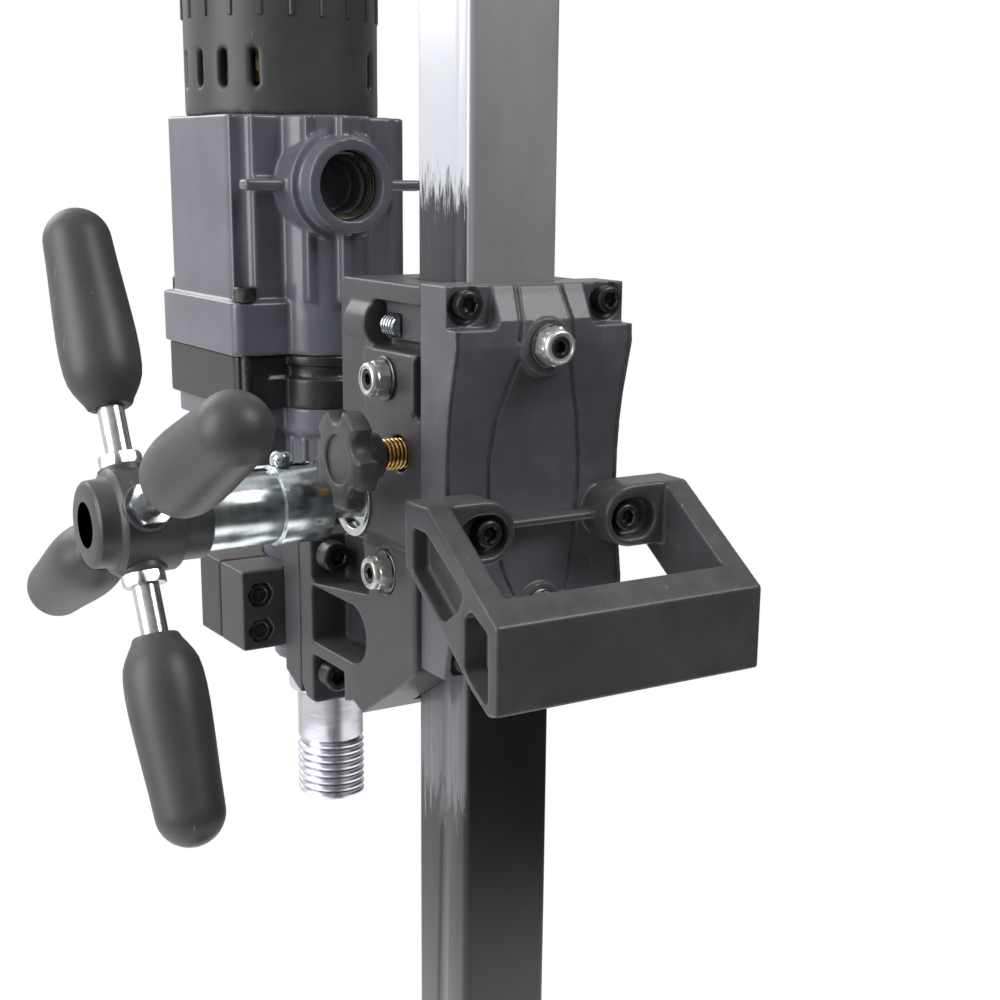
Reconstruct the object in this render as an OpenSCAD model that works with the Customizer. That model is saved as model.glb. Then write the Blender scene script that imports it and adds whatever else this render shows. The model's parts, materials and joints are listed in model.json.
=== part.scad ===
// Core drill rig: floor stand, geared carriage with hand feed, and a wet core drill in a neck clamp.
// X runs across the rig, Y from the carriage cover to the drill, Z up from the floor.

/* [Stand] */
// Height of the column top above the floor
column_h = 900; // [800:10:1200]
// Outside width of the square column
column_w = 39; // [36:0.5:60]
// Wall of the column tube
column_t = 3.5; // [2:0.5:6]
// Outside corner radius of the column
column_r = 3; // [1:0.5:6]
// Width of the base plate
base_w = 220; // [180:5:300]
// Rear end of the base plate, measured behind the column
base_back = 230; // [180:5:300]
// Front end of the base plate, measured ahead of the column
base_front = 120; // [100:5:200]
// Thickness of the base plate
base_t = 12; // [8:1:20]
// Radius of the core bit notch in the base plate
notch_r = 62; // [50:1:70]
// Radius of the transport wheels
wheel_r = 32; // [25:1:40]

/* [Rack and feed] */
// Gear module of the rack and the pinion
rack_m = 2; // [1.5:0.5:3]
// Teeth on the feed pinion
pinion_n = 12; // [12:1:16]
// Face width of the rack
rack_w = 14; // [10:1:16]
// Length of a feed spoke from the shaft axis to the ball centre
spoke_l = 110; // [90:5:160]
// Radius of a ball knob
ball_r = 12.9; // [10:0.1:18]
// Number of feed spokes
spokes_n = 4; // [3:1:4]
// Angle of the first spoke above the rear horizontal
spoke_a = 25.6; // [0:0.1:90]

/* [Carriage] */
// Height of the carriage top above the floor
carriage_z = 620; // [600:5:700]
// Width of the carriage across its side faces
body_w = 77; // [70:1:100]
// Height of the cover
cover_h = 145; // [120:1:180]
// Height of the feed shaft below the carriage top
shaft_dz = 88; // [80:1:95]
// Centre distance of the cover screws across the rig
screw_dx = 61; // [56:1:64]
// Height of the raised adjuster nut below the carriage top
adj_hi = 37; // [34:1:40]
// Height of the lower adjuster nut below the carriage top
adj_lo = 112; // [108:1:116]
// Overall width of the grip handle
grip_w = 114; // [100:1:130]
// Radius of the star knob
knob_r = 19; // [15:0.5:24]

/* [Drill] */
// Distance from the column axis to the spindle axis
spindle_y = 142; // [140:1:150]
// Distance from the spindle axis to the motor axis
motor_dy = 40; // [36:1:44]
// Outside diameter of the bit thread on the spindle
thread_d = 31.75; // [25:0.05:40]
// Pitch of the bit thread
thread_p = 3.63; // [2:0.01:5]
// Length of the bit thread
thread_l = 30; // [20:1:40]
// Radius of the collar that the neck clamp holds
collar_r = 30; // [25:0.5:35]
// Radius of the motor housing
motor_r = 44; // [40:1:50]
// Gear module inside the gearbox
gear_m = 1; // [0.8:0.1:1.5]

/* [Hidden] */
$fn = 64;
cw = column_w / 2;
axle_y = -base_back - 36;
bw = body_w / 2;
rack_pitch = 3.14159265 * rack_m;
pinion_pr = rack_m * pinion_n / 2;
rack_tip_y = cw + 8.5;
rack_line_y = rack_tip_y - 0.85 * rack_m;
shaft_y = rack_line_y + pinion_pr;
shaft_z = carriage_z - shaft_dz;
rack_z0 = 130;
rack_z1 = column_h - 24;
motor_y = spindle_y + motor_dy;
lay_y = spindle_y + motor_dy / 2;
small_n = 10;
large_n = motor_dy / gear_m - small_n;
knob_y = 0;
knob_z = carriage_z - 64.6;
adj_y = 8;
side_x = 41;
pad_x = 39.2;
seat_y = -38;
ear_y = -54.5;
skin_black = [0.16, 0.16, 0.17];
skin_grey = [0.45, 0.46, 0.5];
skin_steel = [0.75, 0.76, 0.78];
skin_dark = [0.1, 0.1, 0.11];

// Straight-sided helpers: cylinders along each axis and boxes given by their limits
module xcyl(r, x0, x1, y, z) translate([x0, y, z]) rotate([0, 90, 0]) cylinder(r = r, h = x1 - x0);
module ycyl(r, y0, y1, x, z) translate([x, y0, z]) rotate([-90, 0, 0]) cylinder(r = r, h = y1 - y0);
module zcyl(r, z0, z1, x, y) translate([x, y, z0]) cylinder(r = r, h = z1 - z0);
module box(x0, x1, y0, y1, z0, z1) translate([x0, y0, z0]) cube([x1 - x0, y1 - y0, z1 - z0]);
module both() {
    children();
    mirror([1, 0, 0]) children();
}
// Flat shape in Y and Z, drawn out along X
module side_plate(x0, x1) translate([x0, 0, 0]) rotate([90, 0, 90]) linear_extrude(x1 - x0) children();
// Flat shape in X and Z, drawn out along Y from y0 to y1
module face_plate(y0, y1) translate([0, y1, 0]) rotate([90, 0, 0]) linear_extrude(y1 - y0) children();
module rrect(x0, y0, x1, y1, r) {
    translate([x0 + r, y0]) square([x1 - x0 - 2 * r, y1 - y0]);
    translate([x0, y0 + r]) square([x1 - x0, y1 - y0 - 2 * r]);
    for (x = [x0 + r, x1 - r]) for (y = [y0 + r, y1 - r]) translate([x, y]) circle(r = r);
}
// Socket head cap screw pointing +Z, seat of the head at z = 0, head upwards
module cap_screw(d, head_r, head_h, length, af) {
    difference() {
        union() {
            cylinder(r = head_r, h = head_h - 0.5);
            translate([0, 0, head_h - 0.5]) cylinder(r = head_r - 0.5, h = 0.5);
            translate([0, 0, -length]) cylinder(d = d, h = length);
        }
        translate([0, 0, head_h * 0.45]) cylinder(r = af / 1.732, h = head_h, $fn = 6);
    }
}
// Gear blank with straight-flanked teeth, first tooth along +X turned by a0
module gear_2d(m, n, bore, a0) {
    pr = m * n / 2;
    root = pr - 1.15 * m;
    difference() {
        union() {
            circle(r = root);
            for (i = [0:n - 1]) rotate(a0 + i * 360 / n) polygon([[root - 0.5 * m, -0.95 * m],
                [pr - 0.3 * m, -0.8 * m], [pr + 0.8 * m, -0.38 * m], [pr + 0.8 * m, 0.38 * m],
                [pr - 0.3 * m, 0.8 * m], [root - 0.5 * m, 0.95 * m]]);
        }
        circle(r = bore);
    }
}

// Base plate with core bit notch, anchor slot, axle lugs and strut lugs
module base_plate() {
    color(skin_black) difference() {
        union() {
            linear_extrude(base_t) difference() {
                polygon([[-base_w / 2, -base_back + 20], [-base_w / 2 + 20, -base_back],
                    [base_w / 2 - 20, -base_back], [base_w / 2, -base_back + 20],
                    [base_w / 2, base_front - 20], [base_w / 2 - 20, base_front],
                    [-base_w / 2 + 20, base_front], [-base_w / 2, base_front - 20]]);
                translate([0, spindle_y]) circle(r = notch_r);
                translate([-9, -150]) square([18, 80]);
                for (y = [-150, -70]) translate([0, y]) circle(r = 9);
            }
            both() side_plate(70, 80) polygon([[axle_y + 66, base_t - 1], [axle_y + 66, base_t + 6],
                [axle_y + 12, 48], [axle_y - 8, 48], [axle_y - 14, 42], [axle_y - 14, 24],
                [axle_y - 8, 18], [axle_y + 36, base_t - 1]]);
            both() side_plate(26, 36) polygon([[-186, base_t], [-192, 46], [-208, 46],
                [-214, base_t]]);
            both() box(70, 76, -196, 60, base_t, base_t + 10);
        }
        for (x = [-1, 1]) for (y = [-205, 95]) translate([x * (base_w / 2 - 18), y, -1])
            cylinder(r = 5, h = base_t + 2);
        xcyl(6, -90, 90, axle_y, wheel_r + 2);
        xcyl(4, -40, 40, -200, 34);
        for (x = [-42, 42]) for (y = [-42, 42]) zcyl(4, -1, base_t + 1, x, y);
    }
}
// Levelling screw with a ribbed head, its tip just clear of the floor
module level_screw(x, y) {
    translate([x, y, 0]) color(skin_steel) {
        translate([0, 0, 2]) cylinder(r1 = 3, r2 = 4.95, h = 3);
        translate([0, 0, 5]) cylinder(r = 4.95, h = 39);
        translate([0, 0, 44]) cylinder(r = 8.6, h = 9);
        translate([0, 0, 53]) cylinder(r1 = 8.6, r2 = 7.6, h = 1);
        for (a = [0:30:150]) translate([0, 0, 44.5]) rotate(a) translate([-9.4, -1, 0])
            cube([18.8, 2, 8]);
    }
}
module level_fl() level_screw(-base_w / 2 + 18, 95);
module level_fr() level_screw(base_w / 2 - 18, 95);
module level_bl() level_screw(-base_w / 2 + 18, -205);
module level_br() level_screw(base_w / 2 - 18, -205);
// Axle with pressed end caps
module axle() {
    color(skin_steel) {
        xcyl(6, -112, 112, axle_y, wheel_r + 2);
        both() xcyl(8.5, 108.5, 113, axle_y, wheel_r + 2);
    }
}
module wheel(x0) {
    color(skin_dark) difference() {
        union() {
            xcyl(wheel_r, x0 + 2, x0 + 22, axle_y, wheel_r + 2);
            xcyl(wheel_r - 2, x0 + 0.5, x0 + 23.5, axle_y, wheel_r + 2);
            xcyl(11, x0, x0 + 24, axle_y, wheel_r + 2);
        }
        xcyl(6.06, x0 - 1, x0 + 25, axle_y, wheel_r + 2);
        difference() {
            union() {
                xcyl(wheel_r - 8, x0 - 1, x0 + 4, axle_y, wheel_r + 2);
                xcyl(wheel_r - 8, x0 + 20, x0 + 25, axle_y, wheel_r + 2);
            }
            xcyl(11, x0 - 2, x0 + 26, axle_y, wheel_r + 2);
        }
    }
}
module wheel_left() wheel(-108 + 0.2);
module wheel_right() wheel(84 - 0.2);
// Cast socket that holds the foot of the column
module column_foot() {
    color(skin_black) difference() {
        union() {
            translate([0, 0, base_t]) linear_extrude(12) rrect(-52, -52, 52, 52, 8);
            translate([0, 0, base_t]) linear_extrude(66) rrect(-cw - 9, -cw - 9, cw + 9, cw + 9, 5);
            for (s = [-1, 1]) {
                side_plate(s * 16 - 4, s * 16 + 4) polygon([[-50, base_t + 8], [-cw - 8, 70],
                    [-cw - 8, base_t + 8]]);
            }
        }
        box(-cw, cw, -cw, cw, base_t - 1, 90);
        for (x = [-42, 42]) for (y = [-42, 42]) zcyl(4, 0, 40, x, y);
        ycyl(4, cw - 1, cw + 20, 0, 52);
    }
}
module foot_bolts() {
    color(skin_steel) {
        for (x = [-42, 42]) for (y = [-42, 42]) translate([x, y, base_t + 12])
            cap_screw(8, 6.5, 8, 18, 6);
        translate([0, cw + 9, 52]) rotate([-90, 0, 0]) cap_screw(8, 6.5, 8, 9, 6);
    }
}
// Pair of flat braces between the base plate and the column
module struts() {
    color(skin_black) both() difference() {
        union() {
            side_plate(cw, 26) polygon([[-208, 28], [-194, 40], [-9, 262], [3, 262], [9, 250],
                [5, 240], [-4, 240], [-192, 26]]);
            xcyl(10, cw, 26, -200, 34);
            xcyl(11, cw, 26, 0, 250);
        }
        xcyl(4, 0, 40, -200, 34);
        xcyl(4, 0, 40, 0, 250);
    }
}
module strut_bolts() {
    color(skin_steel) {
        xcyl(4, -30, 30, 0, 250);
        both() translate([26, 0, 250]) rotate([0, 90, 0]) cylinder(r = 7.5, h = 5, $fn = 6);
        xcyl(4, -44, 44, -200, 34);
        both() translate([36, -200, 34]) rotate([0, 90, 0]) cylinder(r = 7.5, h = 5, $fn = 6);
    }
}
// Square tube of the column with cross holes for the brace bolt
module column_tube() {
    color(skin_dark) difference() {
        translate([0, 0, base_t]) linear_extrude(column_h - base_t) difference() {
            rrect(-cw, -cw, cw, cw, column_r);
            square([column_w - 2 * column_t, column_w - 2 * column_t], center = true);
        }
        xcyl(4, -cw - 1, cw + 1, 0, 250);
    }
}
module column_cap() {
    color(skin_black) difference() {
        union() {
            translate([0, 0, column_h]) linear_extrude(5) rrect(-cw - 1, -cw - 1, cw + 1, cw + 1, 3);
            box(-cw + column_t, cw - column_t, -cw + column_t, cw - column_t, column_h - 20, column_h);
        }
        box(-cw + 7, cw - 7, -cw + 7, cw - 7, column_h - 21, column_h - 2);
    }
}
// Toothed rack screwed to the drill side of the column
module rack() {
    color(skin_steel) difference() {
        union() {
            box(-rack_w / 2, rack_w / 2, cw, rack_tip_y - 2 * rack_m, rack_z0, rack_z1);
            for (k = [-63:54]) {
                z = shaft_z + (k + 0.5) * rack_pitch;
                side_plate(-rack_w / 2, rack_w / 2) polygon([
                    [rack_tip_y - 2 * rack_m - 0.1, z - 1.15 * rack_m],
                    [rack_tip_y, z - 0.38 * rack_m], [rack_tip_y, z + 0.38 * rack_m],
                    [rack_tip_y - 2 * rack_m - 0.1, z + 1.15 * rack_m]]);
            }
        }
        box(-20, 20, cw, 60, rack_z1, rack_z1 + 50);
        box(-20, 20, cw, 60, rack_z0 - 50, rack_z0);
    }
}

// Outline of the carriage casting seen from the side
module body_side() {
    polygon([[-17, -1], [44, -1], [47, -4], [47, -100], [47, -160], [28, -164], [2, -159],
        [-17, -146]]);
}
module lower_side() {
    polygon([[-17, -101], [40, -101], [60, -110], [86, -112], [86, -178], [80, -185], [70, -186],
        [52, -178], [36, -173], [28, -176], [2, -160], [-17, -147]]);
}
module carriage_body() {
    translate([0, 0, carriage_z]) color(skin_black) difference() {
        union() {
            side_plate(-bw, bw) body_side();
            side_plate(-side_x + 1, side_x - 1) lower_side();
            side_plate(-side_x, side_x) intersection() {
                lower_side();
                translate([-16, -184]) square([101.5, 81]);
            }
            both() side_plate(bw - 1, pad_x) rrect(-13, -49, 26, -27, 2);
            both() ycyl(9.2, 20, 38, -bw + 5.5, -17.5);
        }
        box(-cw - 1.2, cw + 1.2, -30, cw + 1.2, -210, 10);
        box(-rack_w / 2 - 1.5, rack_w / 2 + 1.5, 0, rack_tip_y + 1.5, -210, 10);
        box(-rack_w / 2 - 1, rack_w / 2 + 1, 0, shaft_y, -shaft_dz - 14.6, -shaft_dz + 14.6);
        xcyl(14.6, -rack_w / 2 - 1, rack_w / 2 + 1, shaft_y, -shaft_dz);
        xcyl(8.05, -50, 50, shaft_y, -shaft_dz);
        both() xcyl(13, bw - 3.5, 50, shaft_y, -shaft_dz);
        both() xcyl(17.2, bw, 50, shaft_y, -shaft_dz);
        both() side_plate(24, 50) polygon([[26, -103], [21, -124.5], [72, -131], [74, -129],
            [74, -106], [60, -100], [30, -100]]);
        both() box(24, 50, 34, 74, -157, -132);
        both() xcyl(12, 24, 50, 36, -144.5);
        both() box(24, 50, 44, 74, -200, -163);
        box(-15, 15, 42, 74, -210, -125);
        both() side_plate(bw - 4, 50) rrect(-23, -26.4, 20.5, -8, 5);
        both() side_plate(bw - 9, 50) rrect(16.5, -26.4, 20.5, -8.6, 1.9);
        both() side_plate(bw - 9, 50) rrect(-23, -26.4, 19, -22.6, 1.8);
        both() side_plate(bw - 6, 50) translate([-23, -50]) square([10, 23]);
        both() for (z = [-adj_hi, -adj_lo]) xcyl(4, cw - 2, 60, adj_y, z);
        xcyl(4.1, -60, 0, knob_y, knob_z - carriage_z);
        xcyl(7, -60, -bw + 5, knob_y, knob_z - carriage_z);
        both() xcyl(9.4, pad_x, 50, adj_y, -adj_lo);
        both() for (z = [-6.7, -137.5]) ycyl(3, -20, -3, -screw_dx / 2, z);
        both() for (z = [-119, -171.5]) ycyl(4, 60, 90, -33.5, z);
        both() for (z = [-119, -171.5]) ycyl(7.9, 60, 74, -33.5, z);
        both() ycyl(4.35, 4, 16, -34.2, -17.5);
    }
}
// Curve of the cover front, height against depth, moved inwards by d
module cover_curve(d) {
    translate([d, 0]) polygon([[-10, 0], [-36, 0], [-37.4, -3.5], [-42, -12.5], [-42.4, -22],
        [-40, -32], [-37.6, -42], [-36, -52], [-35, -64], [-34.8, -76], [-35.6, -88],
        [-37.6, -101], [-39.6, -114], [-39, -124], [-37.2, -134], [-34.5, -145], [-10, -145]]);
}
// Shield between the two adjusters, as a flat outline grown by g
module shield(g) {
    polygon([[-10 - g, -26], [-12.5 - g, -34], [-17 - g, -49], [-19 - g, -64], [-19 - g, -78],
        [-17 - g, -95], [-13.5 - g, -108], [-10, -116 - g], [10, -116 - g], [13.5 + g, -108],
        [17 + g, -95], [19 + g, -78], [19 + g, -64], [17 + g, -49], [12.5 + g, -34],
        [10 + g, -26]]);
}
module carriage_cover() {
    translate([0, 0, carriage_z]) color(skin_black) difference() {
        union() {
            intersection() {
                side_plate(-bw, bw) cover_curve(0);
                box(-100, 100, -100, -17, -200, 10);
            }
            ycyl(10, -43.4, -30, 0, -21.6);
            intersection() {
                side_plate(-bw, bw) cover_curve(-0.6);
                face_plate(-60, -30) polygon([[-8.7, -0.5], [8.7, -0.5], [11.1, -22], [-11.1, -22]]);
            }
            intersection() {
                ycyl(11.3, -43.1, -31, 0, -21.6);
                box(-20, 20, -60, 0, -40, -21.6);
            }
            ycyl(10, -41, -30, 0, -121);
            both() ycyl(9.4, seat_y, -30, -screw_dx / 2, -86.5);
        }
        box(-cw - 1.2, cw + 1.2, -21.2, -10, -200, 20);
        both() face_plate(-60, -35.4) rrect(-60, -15.2, -19.8, 10, 3.5);
        both() ycyl(7.2, -60, -32.9, -screw_dx / 2, -6.7);
        both() face_plate(-60, -32.9) rrect(-bw + 2.6, -143.5, -21.5, -130, 3);
        both() for (z = [-6.7, -137.5]) ycyl(3, -40, -10, -screw_dx / 2, z);
        both() ycyl(2.6, -60, -24, -screw_dx / 2, -86.5);
        for (z = [-21.6, -121]) ycyl(4, -60, -10, 0, z);
        difference() {
            intersection() {
                face_plate(-60, -10) difference() {
                    shield(1.8);
                    shield(0);
                }
                side_plate(-bw, bw) cover_curve(-5);
            }
            side_plate(-bw - 1, bw + 1) cover_curve(1.3);
            ycyl(11.6, -60, -10, 0, -21.6);
            ycyl(11, -60, -10, 0, -121);
        }
        both() intersection() {
            face_plate(-60, -10) {
                polygon([[8.5, 1], [10.2, 1], [12.7, -20.6], [10.8, -20.6]]);
                translate([-bw + 0.9, -130]) square([1.2, 114]);
            }
            difference() {
                side_plate(-bw, bw) cover_curve(-5);
                side_plate(-bw - 1, bw + 1) cover_curve(1.1);
            }
        }
    }
}
module cover_screws() {
    translate([0, 0, carriage_z]) color(skin_dark) both() for (z = [-6.7, -137.5])
        translate([-screw_dx / 2, -32.9, z]) rotate([90, 0, 0]) cap_screw(6, 5.2, 6, 28, 5);
}
// Sliding pads that bear on the column
module guide_pads() {
    translate([0, 0, carriage_z]) color([0.6, 0.5, 0.3]) {
        both() for (z = [-adj_hi, -adj_lo]) box(cw + 0.05, cw + 1.2, -14, 14, z - 16, z + 16);
        for (z = [-26, -121]) box(-14, 14, -21.2, -cw - 0.05, z - 14, z + 14);
        for (z = [-26, -126]) both() box(rack_w / 2 + 1.6, 17, cw + 0.05, cw + 1.2, z - 14, z + 14);
    }
}
module adjuster_screws() {
    translate([0, 0, carriage_z]) color(skin_dark) {
        both() for (z = [-adj_hi, -adj_lo]) difference() {
            xcyl(4, cw + 1.2, pad_x + 8.2, adj_y, z);
            translate([pad_x + 5, adj_y, z]) rotate([0, 90, 0]) cylinder(r = 2.4, h = 9, $fn = 6);
        }
        for (z = [-21.6, -121]) difference() {
            ycyl(4, -43.4 - 8.2, -21.2, 0, z);
            translate([0, -43.4 - 5, z]) rotate([90, 0, 0]) cylinder(r = 2.4, h = 9, $fn = 6);
        }
    }
}
// Self-locking nut, seat at z = 0, pointing +Z
module lock_nut() {
    difference() {
        union() {
            cylinder(r = 7.5, h = 5.4, $fn = 6);
            translate([0, 0, 5.4]) cylinder(r1 = 6.5, r2 = 6, h = 2.1);
        }
        translate([0, 0, -1]) cylinder(r = 4, h = 10);
    }
}
module adjuster_nuts() {
    translate([0, 0, carriage_z]) color(skin_steel) {
        both() for (z = [-adj_hi, -adj_lo]) translate([pad_x + 1.4, adj_y, z]) rotate([0, 90, 0])
            lock_nut();
        translate([0, -43.4 - 1.2, -21.6]) rotate([90, 0, 0]) lock_nut();
        translate([0, -41 - 1.2, -121]) rotate([90, 0, 0]) lock_nut();
    }
}
module adjuster_washers() {
    translate([0, 0, carriage_z]) color(skin_steel) {
        both() for (z = [-adj_hi, -adj_lo]) difference() {
            xcyl(8.4, pad_x, pad_x + 1.4, adj_y, z);
            xcyl(4, pad_x - 1, pad_x + 4, adj_y, z);
        }
        for (s = [[-43.4, -21.6], [-41, -121]]) difference() {
            ycyl(7.9, s[0] - 1.2, s[0], 0, s[1]);
            ycyl(4, s[0] - 4, s[0] + 1, 0, s[1]);
        }
    }
}
// Threaded studs in the side pockets of the carriage
module side_stud() {
    translate([0, 0, carriage_z]) color(skin_steel) both() {
        ycyl(3.7, 5, 16, -34.2, -17.5);
        for (y = [5.5:2:13.5]) ycyl(4.3, y, y + 1, -34.2, -17.5);
    }
}
// Side outline of the hollow grip handle
module grip_side() {
    polygon([[seat_y, -74], [ear_y, -74], [-101, -106], [-101, -137], [-95.6, -138.4],
        [-83.8, -131.7], [-59.8, -112.8], [seat_y, -98]]);
}
module bar_hollow() {
    polygon([[-80, -107], [-84, -104.5], [-94.6, -109.5], [-95, -134], [-93, -134.6],
        [-84, -129.4], [-80, -126]]);
}
module grip_handle() {
    gw = grip_w / 2;
    translate([0, 0, carriage_z]) color(skin_black) difference() {
        union() {
            both() side_plate(gw - 10, gw) grip_side();
            side_plate(-gw, gw) intersection() {
                grip_side();
                translate([-110, -150]) square([34, 60]);
            }
            both() face_plate(ear_y, seat_y) {
                translate([-gw, -98]) square([gw - 32, 24]);
                translate([-32, -86]) circle(r = 12);
            }
            box(-24, 24, -46, seat_y, -87.5, -84.5);
        }
        side_plate(-gw - 1, gw + 1) bar_hollow();
        both() side_plate(gw - 7, gw + 1) polygon([[-44, -83], [-53, -83.5], [-77.5, -98.6],
            [-78, -101], [-75, -106], [-66, -112.2], [-63.5, -112.2], [-44, -98.6]]);
        both() face_plate(-60, -48) {
            translate([-35.5, -94.5]) square([5, 15]);
            for (x = [-35.5, -30.5]) translate([x, -87]) circle(r = 7.5);
        }
        both() ycyl(3.1, -60, -30, -screw_dx / 2, -86.5);
    }
}
module grip_screws() {
    translate([0, 0, carriage_z]) color(skin_dark) both() translate([-screw_dx / 2, -48, -86.5])
        rotate([90, 0, 0]) cap_screw(5.2, 5.2, 6, 24, 5);
}
// Bright ring and bearing face round the feed shaft
module boss_ring() {
    translate([0, 0, carriage_z]) color(skin_steel) both() {
        difference() {
            xcyl(15.8, bw, bw + 1.2, shaft_y, -shaft_dz);
            xcyl(12.6, bw - 1, bw + 3, shaft_y, -shaft_dz);
        }
        difference() {
            xcyl(13, bw - 3.5, bw - 1.9, shaft_y, -shaft_dz);
            xcyl(8.06, bw - 5, bw + 3, shaft_y, -shaft_dz);
        }
    }
}
module mount_screws() {
    translate([0, 0, carriage_z]) color(skin_dark) both() for (z = [-119, -171.5]) {
        translate([-33.5, 71, z]) rotate([90, 0, 0]) cap_screw(7.9, 6.5, 8, 28, 6);
        difference() {
            ycyl(7.6, 72.6, 74, -33.5, z);
            ycyl(3.95, 70, 80, -33.5, z);
        }
        difference() {
            ycyl(6.9, 71, 72.4, -33.5, z);
            ycyl(3.95, 70, 80, -33.5, z);
        }
    }
}
module clamp_ear_holes() {
    both() for (z = [-145.7, -162]) ycyl(3.1, 60, 200, -46, z);
}
// Bracket behind the drill neck, with the rear half of the clamp
module mount_bracket() {
    translate([0, 0, carriage_z]) color(skin_black) difference() {
        union() {
            side_plate(-side_x, side_x) polygon([[86, -114], [100, -114], [102, -116],
                [102, -177], [86, -184]]);
            box(-32, 32, 101, 120, -171, -134.5);
            intersection() {
                zcyl(39, -171, -134.5, 0, spindle_y);
                box(-60, 60, 60, spindle_y - 0.4, -200, -100);
            }
            both() box(-54.6, -34, 116, spindle_y - 0.4, -171, -134.5);
        }
        zcyl(collar_r, -200, -100, 0, spindle_y);
        clamp_ear_holes();
        both() for (z = [-145.7, -162]) translate([-46, 121.2, z]) rotate([90, 0, 0])
            cylinder(r = 6, h = 8, $fn = 6);
        both() for (z = [-119, -171.5]) ycyl(3.96, 80, 100, -33.5, z);
    }
}
module clamp_cap() {
    translate([0, 0, carriage_z]) color(skin_black) difference() {
        union() {
            intersection() {
                zcyl(39, -171, -134.5, 0, spindle_y);
                box(-60, 60, spindle_y + 0.4, 220, -200, -100);
            }
            both() box(-54.6, -34, spindle_y + 0.4, 166, -171, -134.5);
        }
        zcyl(collar_r, -200, -100, 0, spindle_y);
        clamp_ear_holes();
    }
}
module clamp_bolts() {
    translate([0, 0, carriage_z]) color(skin_dark) both() for (z = [-145.7, -162])
        translate([-46, 166, z]) rotate([-90, 0, 0]) cap_screw(6, 5, 6, 49, 5);
}
module clamp_nuts() {
    translate([0, 0, carriage_z]) color(skin_dark) both() for (z = [-145.7, -162])
        translate([-46, 121, z]) rotate([90, 0, 0]) difference() {
            cylinder(r = 5.7, h = 4.4, $fn = 6);
            translate([0, 0, -1]) cylinder(r = 3, h = 10);
        }
}
// Guide bolt seen in the round side window
module pad_bolt() {
    translate([0, 0, carriage_z]) color(skin_steel) both() {
        translate([24, 36, -144.5]) rotate([0, 90, 0]) cylinder(r = 8, h = 1.5);
        translate([25.5, 36, -144.5]) rotate([0, 90, 0]) cylinder(r = 6.6, h = 5, $fn = 6);
    }
}

// Drill housing: flange, tube round the spindle axis, box round the gears
module tube_and_box(r, x, y0, c) {
    translate([0, spindle_y]) circle(r = r);
    rrect(-x, y0, x, motor_y + 44, c);
}
module gear_space() {
    translate([0, spindle_y]) circle(r = 17.2);
    translate([0, lay_y]) circle(r = 17.2);
    translate([0, motor_y]) circle(r = 9);
    translate([-9, spindle_y]) square([18, motor_dy]);
}
module gearbox_housing() {
    bz = 32.3;
    translate([0, 0, carriage_z]) color(skin_grey) difference() {
        union() {
            translate([0, 0, -42]) linear_extrude(24) tube_and_box(20.6, 46, 136, 5);
            translate([0, 0, -18]) linear_extrude(80) tube_and_box(20.6, 43.5, 139, 9);
            ycyl(20.2, 111.5, 140, 0, bz);
            ycyl(24, 122, 140, 0, bz);
            box(-43, 43, 127, 141, bz - 2.4, bz + 2.4);
            box(-2.4, 2.4, 117, 124, -18, 62);
            both() box(-16, -12.6, 124, 130, -18, 62);
        }
        ycyl(15, 100, 127, 0, bz);
        ycyl(12, 100, 136, 0, bz);
        both() zcyl(5.2, -18, 70, -39.6, 139.4);
        both() zcyl(5.2, -18, 70, -37, 220);
        both() box(-50, -37, 214.8, 230, -18, 70);
        both() box(-42.2, -31.8, 220, 230, -18, 70);
        both() for (p = [[-39.6, 139.4], [-37, 220]]) zcyl(2.5, -50, 0, p[0], p[1]);
        translate([0, 0, -43]) linear_extrude(29) gear_space();
        zcyl(3.56, -20, -8, 0, lay_y);
        zcyl(9, -20, 70, 0, motor_y);
        zcyl(11, 54, 70, 0, motor_y);
        ycyl(3.06, 210, 240, 0, 10);
        both() zcyl(14, -8, 50, -24, motor_y);
    }
}
module gear_case() {
    translate([0, 0, carriage_z]) color(skin_dark) difference() {
        translate([0, 0, -66]) linear_extrude(24) tube_and_box(20.2, 44, 139, 6);
        translate([0, 0, -62]) linear_extrude(30) gear_space();
        zcyl(14.5, -70, -60, 0, spindle_y);
        zcyl(3.56, -65, -60, 0, lay_y);
        both() for (p = [[-39.6, 139.4], [-37, 220]]) zcyl(2.5, -70, -40, p[0], p[1]);
        difference() {
            box(-30, 30, 100, 140, -52.5, -46.5);
            zcyl(18.4, -60, -40, 0, spindle_y);
        }
    }
}
// Bearing tube of the spindle, from the gear case down through the clamp
module spindle_neck() {
    translate([0, 0, carriage_z]) color(skin_grey) difference() {
        union() {
            zcyl(19.8, -77, -66, 0, spindle_y);
            translate([0, spindle_y, -80]) cylinder(r1 = 17.2, r2 = 19.8, h = 3);
            zcyl(17.2, -118, -80, 0, spindle_y);
            for (a = [0:30:330]) translate([0, spindle_y, -98]) rotate(a)
                translate([16.6, -1.6, 0]) cube([1.8, 3.2, 18]);
            translate([0, spindle_y, -124]) cylinder(r1 = collar_r - 2, r2 = 17.2, h = 6);
            zcyl(collar_r, -178, -124, 0, spindle_y);
            zcyl(26, -184, -178, 0, spindle_y);
            translate([0, 0, -76]) linear_extrude(10) tube_and_box(19.8, 40, 143, 6);
            translate([0, 0, -94]) linear_extrude(19) rrect(-35, 149, 35, motor_y + 34, 6);
        }
        zcyl(11, -190, -60, 0, spindle_y);
        zcyl(14.5, -80, -60, 0, spindle_y);
        zcyl(14.5, -190, -164, 0, spindle_y);
    }
}
module housing_bolts() {
    translate([0, 0, carriage_z]) color(skin_dark) both() for (p = [[-39.6, 139.4], [-37, 220]])
        translate([p[0], p[1], -18]) cap_screw(5, 4.8, 6.5, 46, 4);
}
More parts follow.
